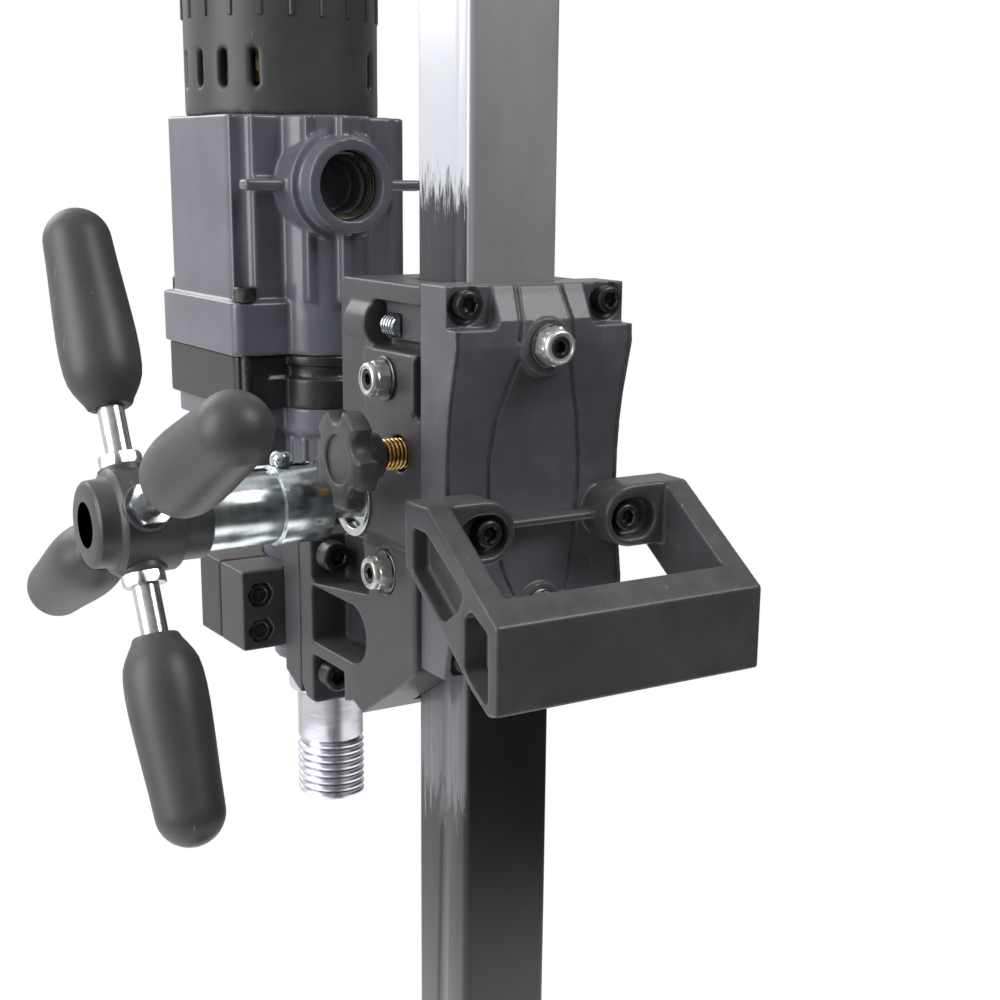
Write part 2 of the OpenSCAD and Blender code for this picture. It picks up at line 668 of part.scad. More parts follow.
module boss_seal() {
    translate([0, 0, carriage_z]) color([0.2, 0.18, 0.15]) difference() {
        ycyl(15, 118, 124, 0, 32.3);
        ycyl(11.6, 110, 130, 0, 32.3);
    }
}
module motor_housing() {
    translate([0, 0, carriage_z]) color(skin_dark) difference() {
        union() {
            zcyl(motor_r, 62, 205, 0, motor_y);
            zcyl(motor_r - 3, 205, 215, 0, motor_y);
            both() xcyl(11, 30, motor_r + 2, motor_y, 180);
        }
        zcyl(37.5, 66, 195, 0, motor_y);
        zcyl(9, 60, 70, 0, motor_y);
        zcyl(11, 190, 205.2, 0, motor_y);
        zcyl(5.5, 200, 210, 0, motor_y);
        both() xcyl(8, 30, 60, motor_y, 180);
        for (a = [-50:20:50]) translate([0, motor_y, 74]) rotate(a) translate([30, -2, 0])
            cube([20, 4, 16]);
        for (a = [130:20:230]) translate([0, motor_y, 74]) rotate(a) translate([30, -2, 0])
            cube([20, 4, 16]);
    }
}
module top_handle() {
    translate([0, 0, carriage_z]) color(skin_dark) difference() {
        union() {
            zcyl(38, 215, 228, 0, motor_y);
            side_plate(-14, 14) polygon([[motor_y - 34, 224], [motor_y - 34, 312],
                [motor_y - 20, 330], [motor_y + 40, 330], [motor_y + 52, 316],
                [motor_y + 46, 240], [motor_y + 34, 224]]);
        }
        side_plate(-20, 20) polygon([[motor_y - 20, 244], [motor_y - 18, 298],
            [motor_y - 10, 306], [motor_y + 28, 306], [motor_y + 34, 300], [motor_y + 30, 244]]);
        box(-6.6, 6.6, motor_y - 8, motor_y + 26.6, 300, 322);
        ycyl(6, motor_y + 30, motor_y + 60, 0, 256);
    }
}
module brush_caps() {
    translate([0, 0, carriage_z]) color(skin_black) both() difference() {
        xcyl(8, 38, motor_r + 3, motor_y, 180);
        box(motor_r + 1.6, 60, motor_y - 6, motor_y + 6, 179.2, 180.8);
    }
}
// Threaded inlet that a supply lead would pass through
module cable_gland() {
    translate([0, 0, carriage_z]) color(skin_dark) difference() {
        union() {
            ycyl(6, motor_y + 36, motor_y + 50, 0, 256);
            translate([0, motor_y + 48.6, 256]) rotate([-90, 0, 0]) cylinder(r = 9.5, h = 8, $fn = 6);
            translate([0, motor_y + 56.6, 256]) rotate([-90, 0, 0]) cylinder(r1 = 8, r2 = 6, h = 8);
        }
        ycyl(3.6, motor_y + 30, motor_y + 70, 0, 256);
    }
}
// Water ring with its valve body and hose barb
module water_inlet() {
    translate([0, 0, carriage_z]) color([0.72, 0.6, 0.32]) difference() {
        union() {
            zcyl(22.5, -116, -102, 0, spindle_y);
            xcyl(5, 20, 34, spindle_y, -109);
            box(32, 48, spindle_y - 8, spindle_y + 8, -117, -101);
            xcyl(5, 48, 56, spindle_y, -109);
            for (k = [0:3]) translate([54 + 4 * k, spindle_y, -109]) rotate([0, 90, 0])
                cylinder(r1 = 5.6, r2 = 4.4, h = 4);
        }
        zcyl(17.2, -120, -100, 0, spindle_y);
        xcyl(2.5, 18, 80, spindle_y, -109);
        zcyl(2.56, -110, -100, 40, spindle_y);
    }
}
module bearings() {
    translate([0, 0, carriage_z]) color(skin_steel) {
        for (z = [-80, -176]) difference() {
            zcyl(14.5, z, z + 11, 0, spindle_y);
            zcyl(10.05, z - 1, z + 12, 0, spindle_y);
        }
        for (z = [54, 195]) difference() {
            zcyl(11, z, z + 8, 0, motor_y);
            zcyl(5.05, z - 1, z + 12, 0, motor_y);
        }
    }
}

// Feed shaft with its pinion, end cap on the far side
module pinion_shaft() {
    color(skin_steel) {
        xcyl(8, -60, 46, shaft_y, shaft_z);
        xcyl(11, 42.6, 47, shaft_y, shaft_z);
        translate([0, shaft_y, shaft_z]) side_plate(-rack_w / 2 + 0.5, rack_w / 2 - 0.5)
            gear_2d(rack_m, pinion_n, 0, 180);
    }
}
module hub_sleeve() {
    color(skin_steel) difference() {
        xcyl(15.8, -74, -54, shaft_y, shaft_z);
        xcyl(14.85, -80, -56, shaft_y, shaft_z);
        xcyl(8, -60, -50, shaft_y, shaft_z);
        box(-69.6, -61, shaft_y - 3.5, shaft_y + 3.5, shaft_z + 8, shaft_z + 20);
        for (x = [-69.6, -61]) zcyl(3.5, shaft_z + 8, shaft_z + 20, x, shaft_y);
    }
}
module hub_tube() {
    color(skin_steel) difference() {
        xcyl(14.8, -112, -65, shaft_y, shaft_z);
        xcyl(8.35, -120, -50, shaft_y, shaft_z);
        zcyl(3, shaft_z + 6, shaft_z + 20, -69.6, shaft_y);
    }
}
module hub_screw() {
    color(skin_steel) difference() {
        union() {
            zcyl(3, shaft_z + 8.5, shaft_z + 17, -69.6, shaft_y);
            zcyl(4.35, shaft_z + 16.2, shaft_z + 19, -69.6, shaft_y);
            translate([-69.6, shaft_y, shaft_z + 19]) cylinder(r1 = 4.35, r2 = 2.4, h = 2.2);
        }
        translate([-69.6, shaft_y, shaft_z + 19.4]) cylinder(r = 1.6, h = 4, $fn = 6);
    }
}
// Places its children along each feed spoke, local Z pointing outwards
module each_spoke() {
    for (i = [0:spokes_n - 1]) translate([-130, shaft_y, shaft_z])
        rotate([90 - spoke_a + i * 360 / spokes_n, 0, 0]) children();
}
module capstan_hub() {
    color(skin_dark) difference() {
        union() {
            xcyl(20, -142, -116, shaft_y, shaft_z);
            xcyl(17, -148, -142, shaft_y, shaft_z);
            xcyl(17, -116, -104, shaft_y, shaft_z);
        }
        xcyl(14.8, -112, -90, shaft_y, shaft_z);
        xcyl(8.4, -113, -90, shaft_y, shaft_z);
        each_spoke() translate([0, 0, 12]) cylinder(r = 5, h = 20);
    }
}
module spokes() {
    color(skin_steel) each_spoke() translate([0, 0, 12]) cylinder(r = 5, h = 58);
}
module spoke_grips() {
    color(skin_dark) each_spoke() difference() {
        union() {
            translate([0, 0, 46]) cylinder(r1 = 9, r2 = 14.4, h = 10);
            translate([0, 0, 56]) cylinder(r1 = 14.4, r2 = 15, h = 18);
            translate([0, 0, 74]) cylinder(r1 = 15, r2 = ball_r, h = spoke_l - 74);
            translate([0, 0, spoke_l]) sphere(r = ball_r);
        }
        translate([0, 0, 40]) cylinder(r = 5, h = 30);
    }
}

// Spring-loaded clamp screw of the carriage
module lock_washer() {
    color(skin_steel) difference() {
        xcyl(6.6, -47.6, -46.6, knob_y, knob_z);
        xcyl(4.1, -50, -40, knob_y, knob_z);
    }
}
module lock_knob() {
    color(skin_dark) difference() {
        union() {
            xcyl(9.2, -57, -47.8, knob_y, knob_z);
            translate([0, knob_y, knob_z]) side_plate(-64.7, -56.2) difference() {
                circle(r = knob_r);
                for (i = [0:4]) rotate(i * 72 + 13) translate([knob_r + 0.6, 0]) circle(r = 5.8);
            }
        }
        xcyl(9.3, -66, -63.4, knob_y, knob_z);
        xcyl(4, -60, -40, knob_y, knob_z);
    }
}
module knob_stud() {
    color(skin_steel) xcyl(4, -60, -cw - 2, knob_y, knob_z);
}
module knob_spring() {
    color([0.8, 0.65, 0.25]) for (k = [0:5]) translate([-45.7 + 1.95 * k, knob_y, knob_z])
        rotate([0, 90, 0]) rotate_extrude() translate([5.3, 0]) circle(r = 0.8);
}

// Spindle with its gear inside and the bit thread below
module spindle() {
    zt = carriage_z - 226.8;
    color(skin_steel) difference() {
        union() {
            zcyl(10, carriage_z - 185, carriage_z - 42.5, 0, spindle_y);
            translate([0, spindle_y, carriage_z - 58]) linear_extrude(12)
                gear_2d(gear_m, large_n, 0, 90);
            zcyl(19.4, carriage_z - 202, carriage_z - 184.4, 0, spindle_y);
            zcyl(15.6, zt - 0.1, carriage_z - 201, 0, spindle_y);
            for (k = [0:7]) translate([0, spindle_y, zt - (k + 1) * thread_p]) {
                cylinder(r = thread_d / 2 - 1.5, h = thread_p + 0.01);
                translate([0, 0, 0.5]) cylinder(r1 = thread_d / 2 - 1.6, r2 = thread_d / 2, h = 1.1);
                translate([0, 0, 1.6]) cylinder(r = thread_d / 2, h = 0.8);
                translate([0, 0, 2.4]) cylinder(r1 = thread_d / 2, r2 = thread_d / 2 - 1.6, h = 1.1);
            }
            translate([0, spindle_y, zt - thread_l - 0.8]) cylinder(r1 = 11.5,
                r2 = thread_d / 2 - 1.5, h = 1.9);
        }
        zcyl(5, zt - thread_l - 5, carriage_z - 170, 0, spindle_y);
    }
}
module lay_gear() {
    color(skin_steel) translate([0, lay_y, carriage_z]) {
        translate([0, 0, -64.5]) cylinder(r = 3.5, h = 55);
        translate([0, 0, -58.5]) linear_extrude(13) gear_2d(gear_m, small_n, 0, -90 + 180 / small_n);
        translate([0, 0, -29]) linear_extrude(11) gear_2d(gear_m, large_n, 0, -90 + 180 / large_n);
        translate([0, 0, -45.6]) cylinder(r = 7, h = 16.8);
    }
}
module armature() {
    color([0.5, 0.4, 0.3]) translate([0, motor_y, carriage_z]) {
        translate([0, 0, -29]) linear_extrude(12) gear_2d(gear_m, small_n, 0, -90);
        translate([0, 0, -18]) cylinder(r = 4.6, h = 60);
        translate([0, 0, 42]) cylinder(r = 5, h = 161);
        translate([0, 0, 76]) cylinder(r = 34, h = 5);
        translate([0, 0, 80]) cylinder(r = 12, h = 12);
        translate([0, 0, 92]) cylinder(r = 25, h = 62);
        translate([0, 0, 154]) cylinder(r = 13, h = 32);
    }
}
module switch_trigger() {
    translate([0, 0, carriage_z]) color(skin_dark) {
        side_plate(-6, 6) polygon([[motor_y - 6, 311], [motor_y - 7, 301], [motor_y + 2, 297.6],
            [motor_y + 20, 298.6], [motor_y + 25, 303], [motor_y + 25, 312], [motor_y - 4, 313]]);
        xcyl(3, -6.4, 6.4, motor_y - 4, 311);
    }
}
module gear_selector() {
    translate([0, 0, carriage_z]) color(skin_dark) {
        ycyl(3, 214, motor_y + 44.5, 0, 10);
        difference() {
            ycyl(13, motor_y + 44.4, motor_y + 52, 0, 10);
            both() box(3, 20, motor_y + 47, motor_y + 60, -20, 40);
        }
    }
}
module tap_lever() {
    translate([0, 0, carriage_z]) color([0.7, 0.15, 0.1]) {
        zcyl(2.5, -106, -100.7, 40, spindle_y);
        zcyl(5, -100.7, -96.5, 40, spindle_y);
        box(40, 72, spindle_y - 3, spindle_y + 3, -99.5, -96.5);
        zcyl(3, -99.5, -96.5, 72, spindle_y);
    }
}

base_plate();
level_fl();
level_fr();
level_bl();
level_br();
axle();
wheel_left();
wheel_right();
column_foot();
foot_bolts();
struts();
strut_bolts();
column_tube();
column_cap();
rack();
carriage_body();
carriage_cover();
cover_screws();
guide_pads();
adjuster_screws();
adjuster_nuts();
adjuster_washers();
side_stud();
grip_handle();
grip_screws();
boss_ring();
mount_screws();
mount_bracket();
clamp_cap();
clamp_bolts();
clamp_nuts();
pad_bolt();
gearbox_housing();
gear_case();
spindle_neck();
housing_bolts();
boss_seal();
motor_housing();
top_handle();
brush_caps();
cable_gland();
water_inlet();
bearings();
pinion_shaft();
hub_sleeve();
hub_tube();
hub_screw();
capstan_hub();
spokes();
spoke_grips();
lock_washer();
lock_knob();
knob_stud();
knob_spring();
spindle();
lay_gear();
armature();
switch_trigger();
gear_selector();
tap_lever();
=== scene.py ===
"""Looks of a core drill rig: castings, fasteners, feed gear, drill and stand."""

import json
import logging
import math
from dataclasses import dataclass, field
from enum import Enum
from typing import Any, Callable, Sequence

import bmesh
import bpy
from mathutils import Matrix, Vector

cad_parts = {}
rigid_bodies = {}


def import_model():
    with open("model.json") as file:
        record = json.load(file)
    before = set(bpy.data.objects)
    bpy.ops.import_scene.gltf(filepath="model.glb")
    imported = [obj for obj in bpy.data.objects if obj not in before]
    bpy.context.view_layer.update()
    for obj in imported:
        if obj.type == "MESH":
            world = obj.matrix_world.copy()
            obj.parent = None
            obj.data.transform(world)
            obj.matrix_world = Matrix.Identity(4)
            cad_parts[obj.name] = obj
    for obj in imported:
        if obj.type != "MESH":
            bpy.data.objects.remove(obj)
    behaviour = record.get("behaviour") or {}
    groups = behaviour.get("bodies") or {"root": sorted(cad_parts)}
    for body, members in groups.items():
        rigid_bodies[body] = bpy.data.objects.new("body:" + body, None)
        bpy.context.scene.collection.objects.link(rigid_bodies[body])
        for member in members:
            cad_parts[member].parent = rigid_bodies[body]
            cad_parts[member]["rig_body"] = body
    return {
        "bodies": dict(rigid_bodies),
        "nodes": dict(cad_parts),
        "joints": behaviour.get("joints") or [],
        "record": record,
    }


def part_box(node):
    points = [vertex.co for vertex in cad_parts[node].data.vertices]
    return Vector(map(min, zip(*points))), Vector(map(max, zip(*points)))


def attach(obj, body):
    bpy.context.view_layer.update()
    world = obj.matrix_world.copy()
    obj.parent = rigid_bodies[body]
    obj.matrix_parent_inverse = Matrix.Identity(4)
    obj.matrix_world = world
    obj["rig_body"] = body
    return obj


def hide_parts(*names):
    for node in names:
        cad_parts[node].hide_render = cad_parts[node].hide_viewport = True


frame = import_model()

LOG = logging.getLogger("core_drill_rig")
Colour = tuple[float, float, float]
Radius = Callable[[float], float]
MM = 0.001


class Axis(Enum):
    """Directions in which a turned piece can point."""

    X = (1.0, 0.0, 0.0)
    NX = (-1.0, 0.0, 0.0)
    Y = (0.0, 1.0, 0.0)
    NY = (0.0, -1.0, 0.0)
    Z = (0.0, 0.0, 1.0)

    def frame(self, at: Vector, turn: float = 0.0) -> Matrix:
        """Matrix that puts local Z on this axis.

        Args:
            at: place of the local origin.
            turn: turn about the axis, in radians.

        Returns:
            The 4x4 matrix.
        """
        quat = Vector(self.value).to_track_quat("Z", "Y")
        return Matrix.Translation(at) @ quat.to_matrix().to_4x4() @ Matrix.Rotation(turn, 4, "Z")


class Signal:
    """Wraps an output socket so that Python arithmetic adds Math nodes."""

    def __init__(self, kit: "ShaderKit", socket: bpy.types.NodeSocket) -> None:
        """Keeps the tree builder and the socket."""
        self.kit = kit
        self.socket = socket

    def _math(self, operation: str, other: Any, swap: bool = False) -> "Signal":
        """Adds one Math node.

        Args:
            operation: the Math node's operation.
            other: a number or another signal.
            swap: True when this signal is the second operand.

        Returns:
            The node's result.
        """
        pair = [other, self] if swap else [self, other]
        return self.kit.add("ShaderNodeMath", {"operation": operation}, {0: pair[0], 1: pair[1]})

    def __add__(self, other: Any) -> "Signal":
        """Sum."""
        return self._math("ADD", other)

    def __radd__(self, other: Any) -> "Signal":
        """Reflected sum."""
        return self._math("ADD", other)

    def __sub__(self, other: Any) -> "Signal":
        """Difference."""
        return self._math("SUBTRACT", other)

    def __rsub__(self, other: Any) -> "Signal":
        """Reflected difference."""
        return self._math("SUBTRACT", other, swap=True)

    def __mul__(self, other: Any) -> "Signal":
        """Product."""
        return self._math("MULTIPLY", other)

    def __rmul__(self, other: Any) -> "Signal":
        """Reflected product."""
        return self._math("MULTIPLY", other)

    def over(self, limit: float, soft: float) -> "Signal":
        """Soft step from 0 to 1 round a limit.

        Args:
            limit: value at the middle of the step.
            soft: width of the step.

        Returns:
            The mask.
        """
        return self.kit.add("ShaderNodeMapRange", {"interpolation_type": "SMOOTHSTEP"},
                            {"Value": self, "From Min": limit - soft / 2,
                             "From Max": limit + soft / 2, "To Min": 0.0, "To Max": 1.0})


class ShaderKit:
    """Builds the node tree of one material."""

    def __init__(self, name: str) -> None:
        """Creates the material with a Principled shader."""
        self.material = bpy.data.materials.new(name)
        self.material.use_nodes = True
        self.tree = self.material.node_tree
        self.tree.nodes.clear()
        self.shader = self.tree.nodes.new("ShaderNodeBsdfPrincipled")
        out = self.tree.nodes.new("ShaderNodeOutputMaterial")
        self.tree.links.new(self.shader.outputs[0], out.inputs[0])
        coords = self.tree.nodes.new("ShaderNodeTexCoord")
        self.place = Signal(self, coords.outputs["Object"])
        self.facing = Signal(self, coords.outputs["Normal"])

    def add(self, kind: str, settings: dict[str, Any], values: dict[Any, Any],
            out: int | str = 0) -> Signal:
        """Adds any node.

        Args:
            kind: the node's type.
            settings: node settings, set first; "stops" fills a ramp.
            values: socket name or index to a value or a signal.
            out: the output socket to return.

        Returns:
            The chosen output.
        """
        node = self.tree.nodes.new(kind)
        for key, value in settings.items():
            if key == "stops":
                ramp = node.color_ramp
                while len(ramp.elements) < len(value):
                    ramp.elements.new(0.5)
                for element, (position, colour) in zip(ramp.elements, value):
                    element.position = position
                    element.color = (*colour, 1.0)
            else:
                setattr(node, key, value)
        for key, value in values.items():
            socket = node.inputs[key]
            if isinstance(value, Signal):
                self.tree.links.new(value.socket, socket)
            elif isinstance(value, tuple) and len(value) == 3 and socket.type == "RGBA":
                socket.default_value = (*value, 1.0)
            else:
                socket.default_value = value
        return Signal(self, node.outputs[out])

    def noise(self, scale: float, stretch: Colour = (1.0, 1.0, 1.0), detail: float = 3.0,
              rough: float = 0.55, seed: float = 0.0) -> Signal:
        """Noise on object coordinates.

        Args:
            scale: features per metre.
            stretch: multiplier along each axis.
            detail: octaves.
            rough: weight of the fine octaves.
            seed: shift of the pattern, in metres.

        Returns:
            The noise factor.
        """
        where = self.add("ShaderNodeMapping", {}, {"Vector": self.place, "Scale": stretch,
                                                   "Location": (seed, seed * 0.7, seed * 1.3)})
        return self.add("ShaderNodeTexNoise", {}, {"Vector": where, "Scale": scale,
                                                   "Detail": detail, "Roughness": rough})

    def blend(self, mask: Any, low: Any, high: Any) -> Signal:
        """Mixes two colours.

        Args:
            mask: factor, a number or a signal.
            low: colour at 0.
            high: colour at 1.

        Returns:
            The mixed colour.
        """
        return self.add("ShaderNodeMix", {"data_type": "RGBA"}, {0: mask, 6: low, 7: high}, 2)

    def part(self, vector: Signal, index: int) -> Signal:
        """One component of a vector."""
        return self.add("ShaderNodeSeparateXYZ", {}, {0: vector}, index)

    def bump(self, height: Signal, depth: float, under: Signal | None = None) -> Signal:
        """Bump node.

        Args:
            height: height signal, about 0 to 1.
            depth: real height of 1, in metres.
            under: another bump's normal to build on.

        Returns:
            The normal.
        """
        values: dict[Any, Any] = {"Height": height, "Distance": depth, "Strength": 1.0}
        if under is not None:
            values["Normal"] = under
        return self.add("ShaderNodeBump", {}, values)

    def set(self, **values: Any) -> None:
        """Feeds the shader's sockets, with underscores for the spaces in their names."""
        for key, value in values.items():
            socket = self.shader.inputs[key.replace("_", " ")]
            if isinstance(value, Signal):
                self.tree.links.new(value.socket, socket)
            elif isinstance(value, tuple):
                socket.default_value = (*value, 1.0)
            else:
                socket.default_value = value


@dataclass(frozen=True)
class Finish:
    """A coat, moulding or bare surface with mottling, grain, scuffs and settled dust."""

    name: str
    tone: Colour
    shade: Colour
    rough: float = 0.5
    spread: float = 0.1
    metal: float = 0.0
    coat: float = 0.0
    grain: float = 900.0
    depth: float = 0.00005
    mottle: float = 30.0
    stretch: Colour = (1.0, 1.0, 1.0)
    scuff: float = 0.0
    scuff_tone: Colour = (0.3, 0.3, 0.3)
    dust: float = 0.0

    def build(self) -> bpy.types.Material:
        """Makes the material.

        Returns:
            The finished material.
        """
        kit = ShaderKit(self.name)
        wide = kit.noise(self.mottle, self.stretch, 4.0, 0.6)
        fine = kit.noise(self.grain, self.stretch, 2.0, 0.5, 0.3)
        colour = kit.blend(wide.over(0.5, 0.45), self.shade, self.tone)
        rough = (wide - 0.5) * self.spread + (fine - 0.5) * self.spread + self.rough
        if self.scuff > 0.0:
            scratches = kit.noise(260.0, (1.0, 1.0, 0.16), 4.0, 0.7, 1.1)
            marks = scratches.over(0.74 - self.scuff * 0.2, 0.06)
            marks = marks * kit.noise(24.0, seed=2.2).over(0.52, 0.2)
            colour = kit.blend(marks * 0.6, colour, self.scuff_tone)
            rough = rough + marks * 0.15
        if self.dust > 0.0:
            upward = kit.part(kit.facing, 2).over(0.75, 0.5)
            film = upward * kit.noise(120.0, detail=5.0, seed=3.1).over(0.48, 0.35)
            colour = kit.blend(film * self.dust, colour, (0.35, 0.33, 0.3))
            rough = rough + film * (self.dust * 0.4)
        kit.set(Base_Color=colour, Roughness=rough, Metallic=self.metal, Coat_Weight=self.coat,
                Normal=kit.bump(fine, self.depth, kit.bump(wide, self.depth * 1.5)))
        return kit.material


@dataclass(frozen=True)
class ColumnPaintedReflection:
    """Polished black column: each side gets its own painted reflection and painted shade in the base
    colour, split at ragged edges by height.
    """

    name: str = "column_gloss"
    # heights where the painted bright reflection and the painted low sheen on the left face end, and
    # where painted reflection gives way to painted shade; bright is the painted reflection's colour,
    # dim the painted shade's
    reflection_height: float = 0.652
    low_sheen_height: float = 0.413
    middle: float = 0.55
    bright: Colour = (0.5, 0.51, 0.55)
    dim: Colour = (0.008, 0.008, 0.01)

    def build(self) -> bpy.types.Material:
        """Makes the material.

        Returns:
            The finished material.
        """
        kit = ShaderKit(self.name)
        height = kit.part(kit.place, 2)
        left = (kit.part(kit.facing, 0) * -1.0).over(0.6, 0.5)
        front = (kit.part(kit.facing, 1) * -1.0).over(0.6, 0.5)
        blades = kit.noise(420.0, (1.0, 1.0, 0.12), 5.0, 0.75)
        streak = kit.noise(300.0, (1.0, 1.0, 0.03), 3.0, 0.6, 0.8)
        smoke = kit.noise(26.0, (1.0, 1.0, 0.35), 5.0, 0.6, 1.7)
        # ragged lower edge of the painted bright reflection on the left face, and the lower edge of its
        # painted sheen
        reflection_edge_mask = (height + (blades - 0.5) * 0.06 - self.reflection_height).over(0.0, 0.01)
        above_low_sheen = (height + (blades - 0.5) * 0.09 - self.low_sheen_height).over(0.0, 0.02)
        # left face below the painted reflection: painted dark reflection, then painted streaky sheen,
        # then painted shade at the foot
        painted_dark_reflection = kit.blend(blades.over(0.64, 0.12), (0.006, 0.008, 0.013), (0.05, 0.054, 0.07))
        painted_low_sheen = kit.blend(streak.over(0.5, 0.5), (0.1, 0.105, 0.115), (0.17, 0.175, 0.19))
        painted_low_shade = kit.blend(streak.over(0.6, 0.3), self.dim, (0.012, 0.012, 0.014))
        painted_low_sheen = kit.blend(above_low_sheen, painted_low_shade, painted_low_sheen)
        below = kit.blend((height - self.middle).over(0.0, 0.05), painted_low_sheen, painted_dark_reflection)
        painted_left_tone = kit.blend(reflection_edge_mask, below, self.bright)
        # front face: painted reflection above the middle height, painted shade below it
        painted_front_reflection = kit.blend(smoke.over(0.5, 0.7), (0.24, 0.24, 0.25), (0.34, 0.34, 0.35))
        painted_front_shade = kit.blend(smoke.over(0.5, 0.6), self.dim, (0.016, 0.016, 0.018))
        painted_front_tone = kit.blend((height - self.middle).over(0.0, 0.1), painted_front_shade, painted_front_reflection)
        base = kit.blend(streak.over(0.5, 0.6), (0.02, 0.02, 0.022), (0.045, 0.045, 0.05))
        colour = kit.blend(front, kit.blend(left, base, painted_left_tone), painted_front_tone)
        rough = smoke * 0.12 + streak * 0.06 + 0.16
        kit.set(Base_Color=colour, Roughness=rough, Metallic=0.1, Coat_Weight=0.2,
                Coat_Roughness=0.1, Normal=kit.bump(streak, 0.00001))
        return kit.material


BLACK_CAST = Finish("black_cast_coat", (0.048, 0.049, 0.055), (0.033, 0.034, 0.039), 0.44, 0.16,
                    grain=1500.0, depth=0.00006, mottle=45.0, scuff=0.25,
                    scuff_tone=(0.2, 0.2, 0.21), dust=0.12, coat=0.08)
# the carriage's black coat painted lighter for the cover: painted light on its front faces
COVER_CAST_PAINTED_LIGHT = Finish("black_cover_coat", (0.1, 0.102, 0.112), (0.07, 0.072, 0.081), 0.38, 0.14,
                    grain=1500.0, depth=0.00006, mottle=45.0, scuff=0.2,
                    scuff_tone=(0.25, 0.25, 0.27), dust=0.1, coat=0.1)
GRIP_CAST = Finish("black_grip_coat", (0.062, 0.063, 0.069), (0.044, 0.045, 0.05), 0.42, 0.14,
                   grain=1500.0, depth=0.00006, mottle=45.0, scuff=0.22,
                   scuff_tone=(0.22, 0.22, 0.235), dust=0.1, coat=0.1)
BLACK_ZINC_CAST = Finish("black_clamp_coat", (0.03, 0.03, 0.034), (0.018, 0.018, 0.02), 0.42, 0.2,
                         grain=1300.0, depth=0.00005, mottle=60.0, scuff=0.3,
                         scuff_tone=(0.14, 0.14, 0.15), dust=0.15)
GREY_PAINT = Finish("grey_gearbox_paint", (0.115, 0.118, 0.142), (0.085, 0.088, 0.108), 0.32, 0.12,
                    grain=1100.0, depth=0.00004, mottle=26.0, scuff=0.15,
                    scuff_tone=(0.4, 0.4, 0.44), dust=0.15, coat=0.2)
CASE_BLACK = Finish("gear_case_black", (0.02, 0.02, 0.022), (0.008, 0.008, 0.009), 0.34, 0.2,
                    grain=900.0, depth=0.00004, mottle=50.0, scuff=0.2, dust=0.1)
PLASTIC = Finish("grained_plastic", (0.05, 0.05, 0.05), (0.036, 0.036, 0.037), 0.44, 0.12,
                 grain=2200.0, depth=0.00004, mottle=40.0, scuff=0.15, dust=0.1)
KNOB_PLASTIC = Finish("knob_plastic", (0.058, 0.058, 0.06), (0.04, 0.04, 0.042), 0.42, 0.16,
                      grain=1900.0, depth=0.00004, mottle=70.0, scuff=0.35,
                      scuff_tone=(0.2, 0.2, 0.2), dust=0.12)
# knob plastic painted lighter for the front face and rim: painted light where the light falls on it,
# with real scuff marks
KNOB_FACE_PAINTED_LIGHT = Finish("knob_worn_face", (0.15, 0.153, 0.155), (0.1, 0.103, 0.105), 0.5, 0.2,
                   grain=1900.0, depth=0.00004, mottle=90.0, scuff=0.4, scuff_tone=(0.3, 0.3, 0.3))
KNOB_CAP = Finish("knob_cap_insert", (0.2, 0.205, 0.2), (0.13, 0.14, 0.135), 0.36, 0.2,
                  grain=1500.0, depth=0.00003, mottle=110.0)
PLATED = Finish("bright_plating", (0.7, 0.72, 0.73), (0.5, 0.52, 0.54), 0.2, 0.14, metal=1.0,
                grain=1700.0, depth=0.000012, mottle=160.0)
NUT_ZINC = Finish("zinc_nut", (0.66, 0.655, 0.63), (0.46, 0.455, 0.435), 0.34, 0.07, metal=0.75,
                  grain=2300.0, depth=0.000004, mottle=90.0)
NUT_COLLAR = Finish("nut_collar", (0.9, 0.9, 0.91), (0.78, 0.78, 0.8), 0.42, 0.06, metal=0.15,
                    grain=2500.0, depth=0.000003, mottle=120.0)
WASHER_GREY = Finish("dark_washer", (0.17, 0.17, 0.165), (0.1, 0.1, 0.1), 0.3, 0.1, metal=0.9,
                     grain=2300.0, depth=0.000006, mottle=150.0)
HUB_PLATE = Finish("hub_green_chrome", (0.8, 0.86, 0.87), (0.56, 0.62, 0.63), 0.2, 0.1, metal=1.0,
                   grain=2600.0, depth=0.000008, mottle=60.0, stretch=(3.0, 1.0, 1.0))
SPINDLE_CHROME = Finish("spindle_chrome", (0.8, 0.8, 0.85), (0.6, 0.6, 0.66), 0.3, 0.1,
                        metal=1.0, grain=2600.0, depth=0.000008, mottle=90.0,
                        stretch=(1.0, 1.0, 6.0))
BARE_STEEL = Finish("bare_steel", (0.5, 0.5, 0.49), (0.32, 0.32, 0.31), 0.34, 0.2, metal=1.0,
                    grain=1500.0, depth=0.00002, mottle=90.0)
SCREW_BLACK = Finish("black_oxide", (0.075, 0.072, 0.07), (0.03, 0.03, 0.031), 0.33, 0.2, metal=0.7,
                     grain=2600.0, depth=0.00002, mottle=400.0)
SPRING_YELLOW = Finish("yellow_passivated_wire", (0.62, 0.42, 0.16), (0.34, 0.2, 0.06), 0.28, 0.2,
                       metal=1.0, grain=2400.0, depth=0.00001, mottle=500.0)
BRASS = Finish("turned_brass", (0.62, 0.47, 0.2), (0.42, 0.3, 0.12), 0.3, 0.15, metal=1.0,
               grain=1500.0, depth=0.00002, mottle=120.0)
GREASE = Finish("greasy_seal", (0.06, 0.048, 0.036), (0.018, 0.015, 0.012), 0.25, 0.3,
                grain=900.0, depth=0.0001, mottle=200.0)
RUBBER = Finish("tread_rubber", (0.035, 0.035, 0.035), (0.02, 0.02, 0.02), 0.7, 0.1,
                grain=900.0, depth=0.00008, mottle=60.0, dust=0.3)
RED_COAT = Finish("red_lever_coat", (0.45, 0.04, 0.03), (0.3, 0.025, 0.02), 0.35, 0.1, mottle=90.0)


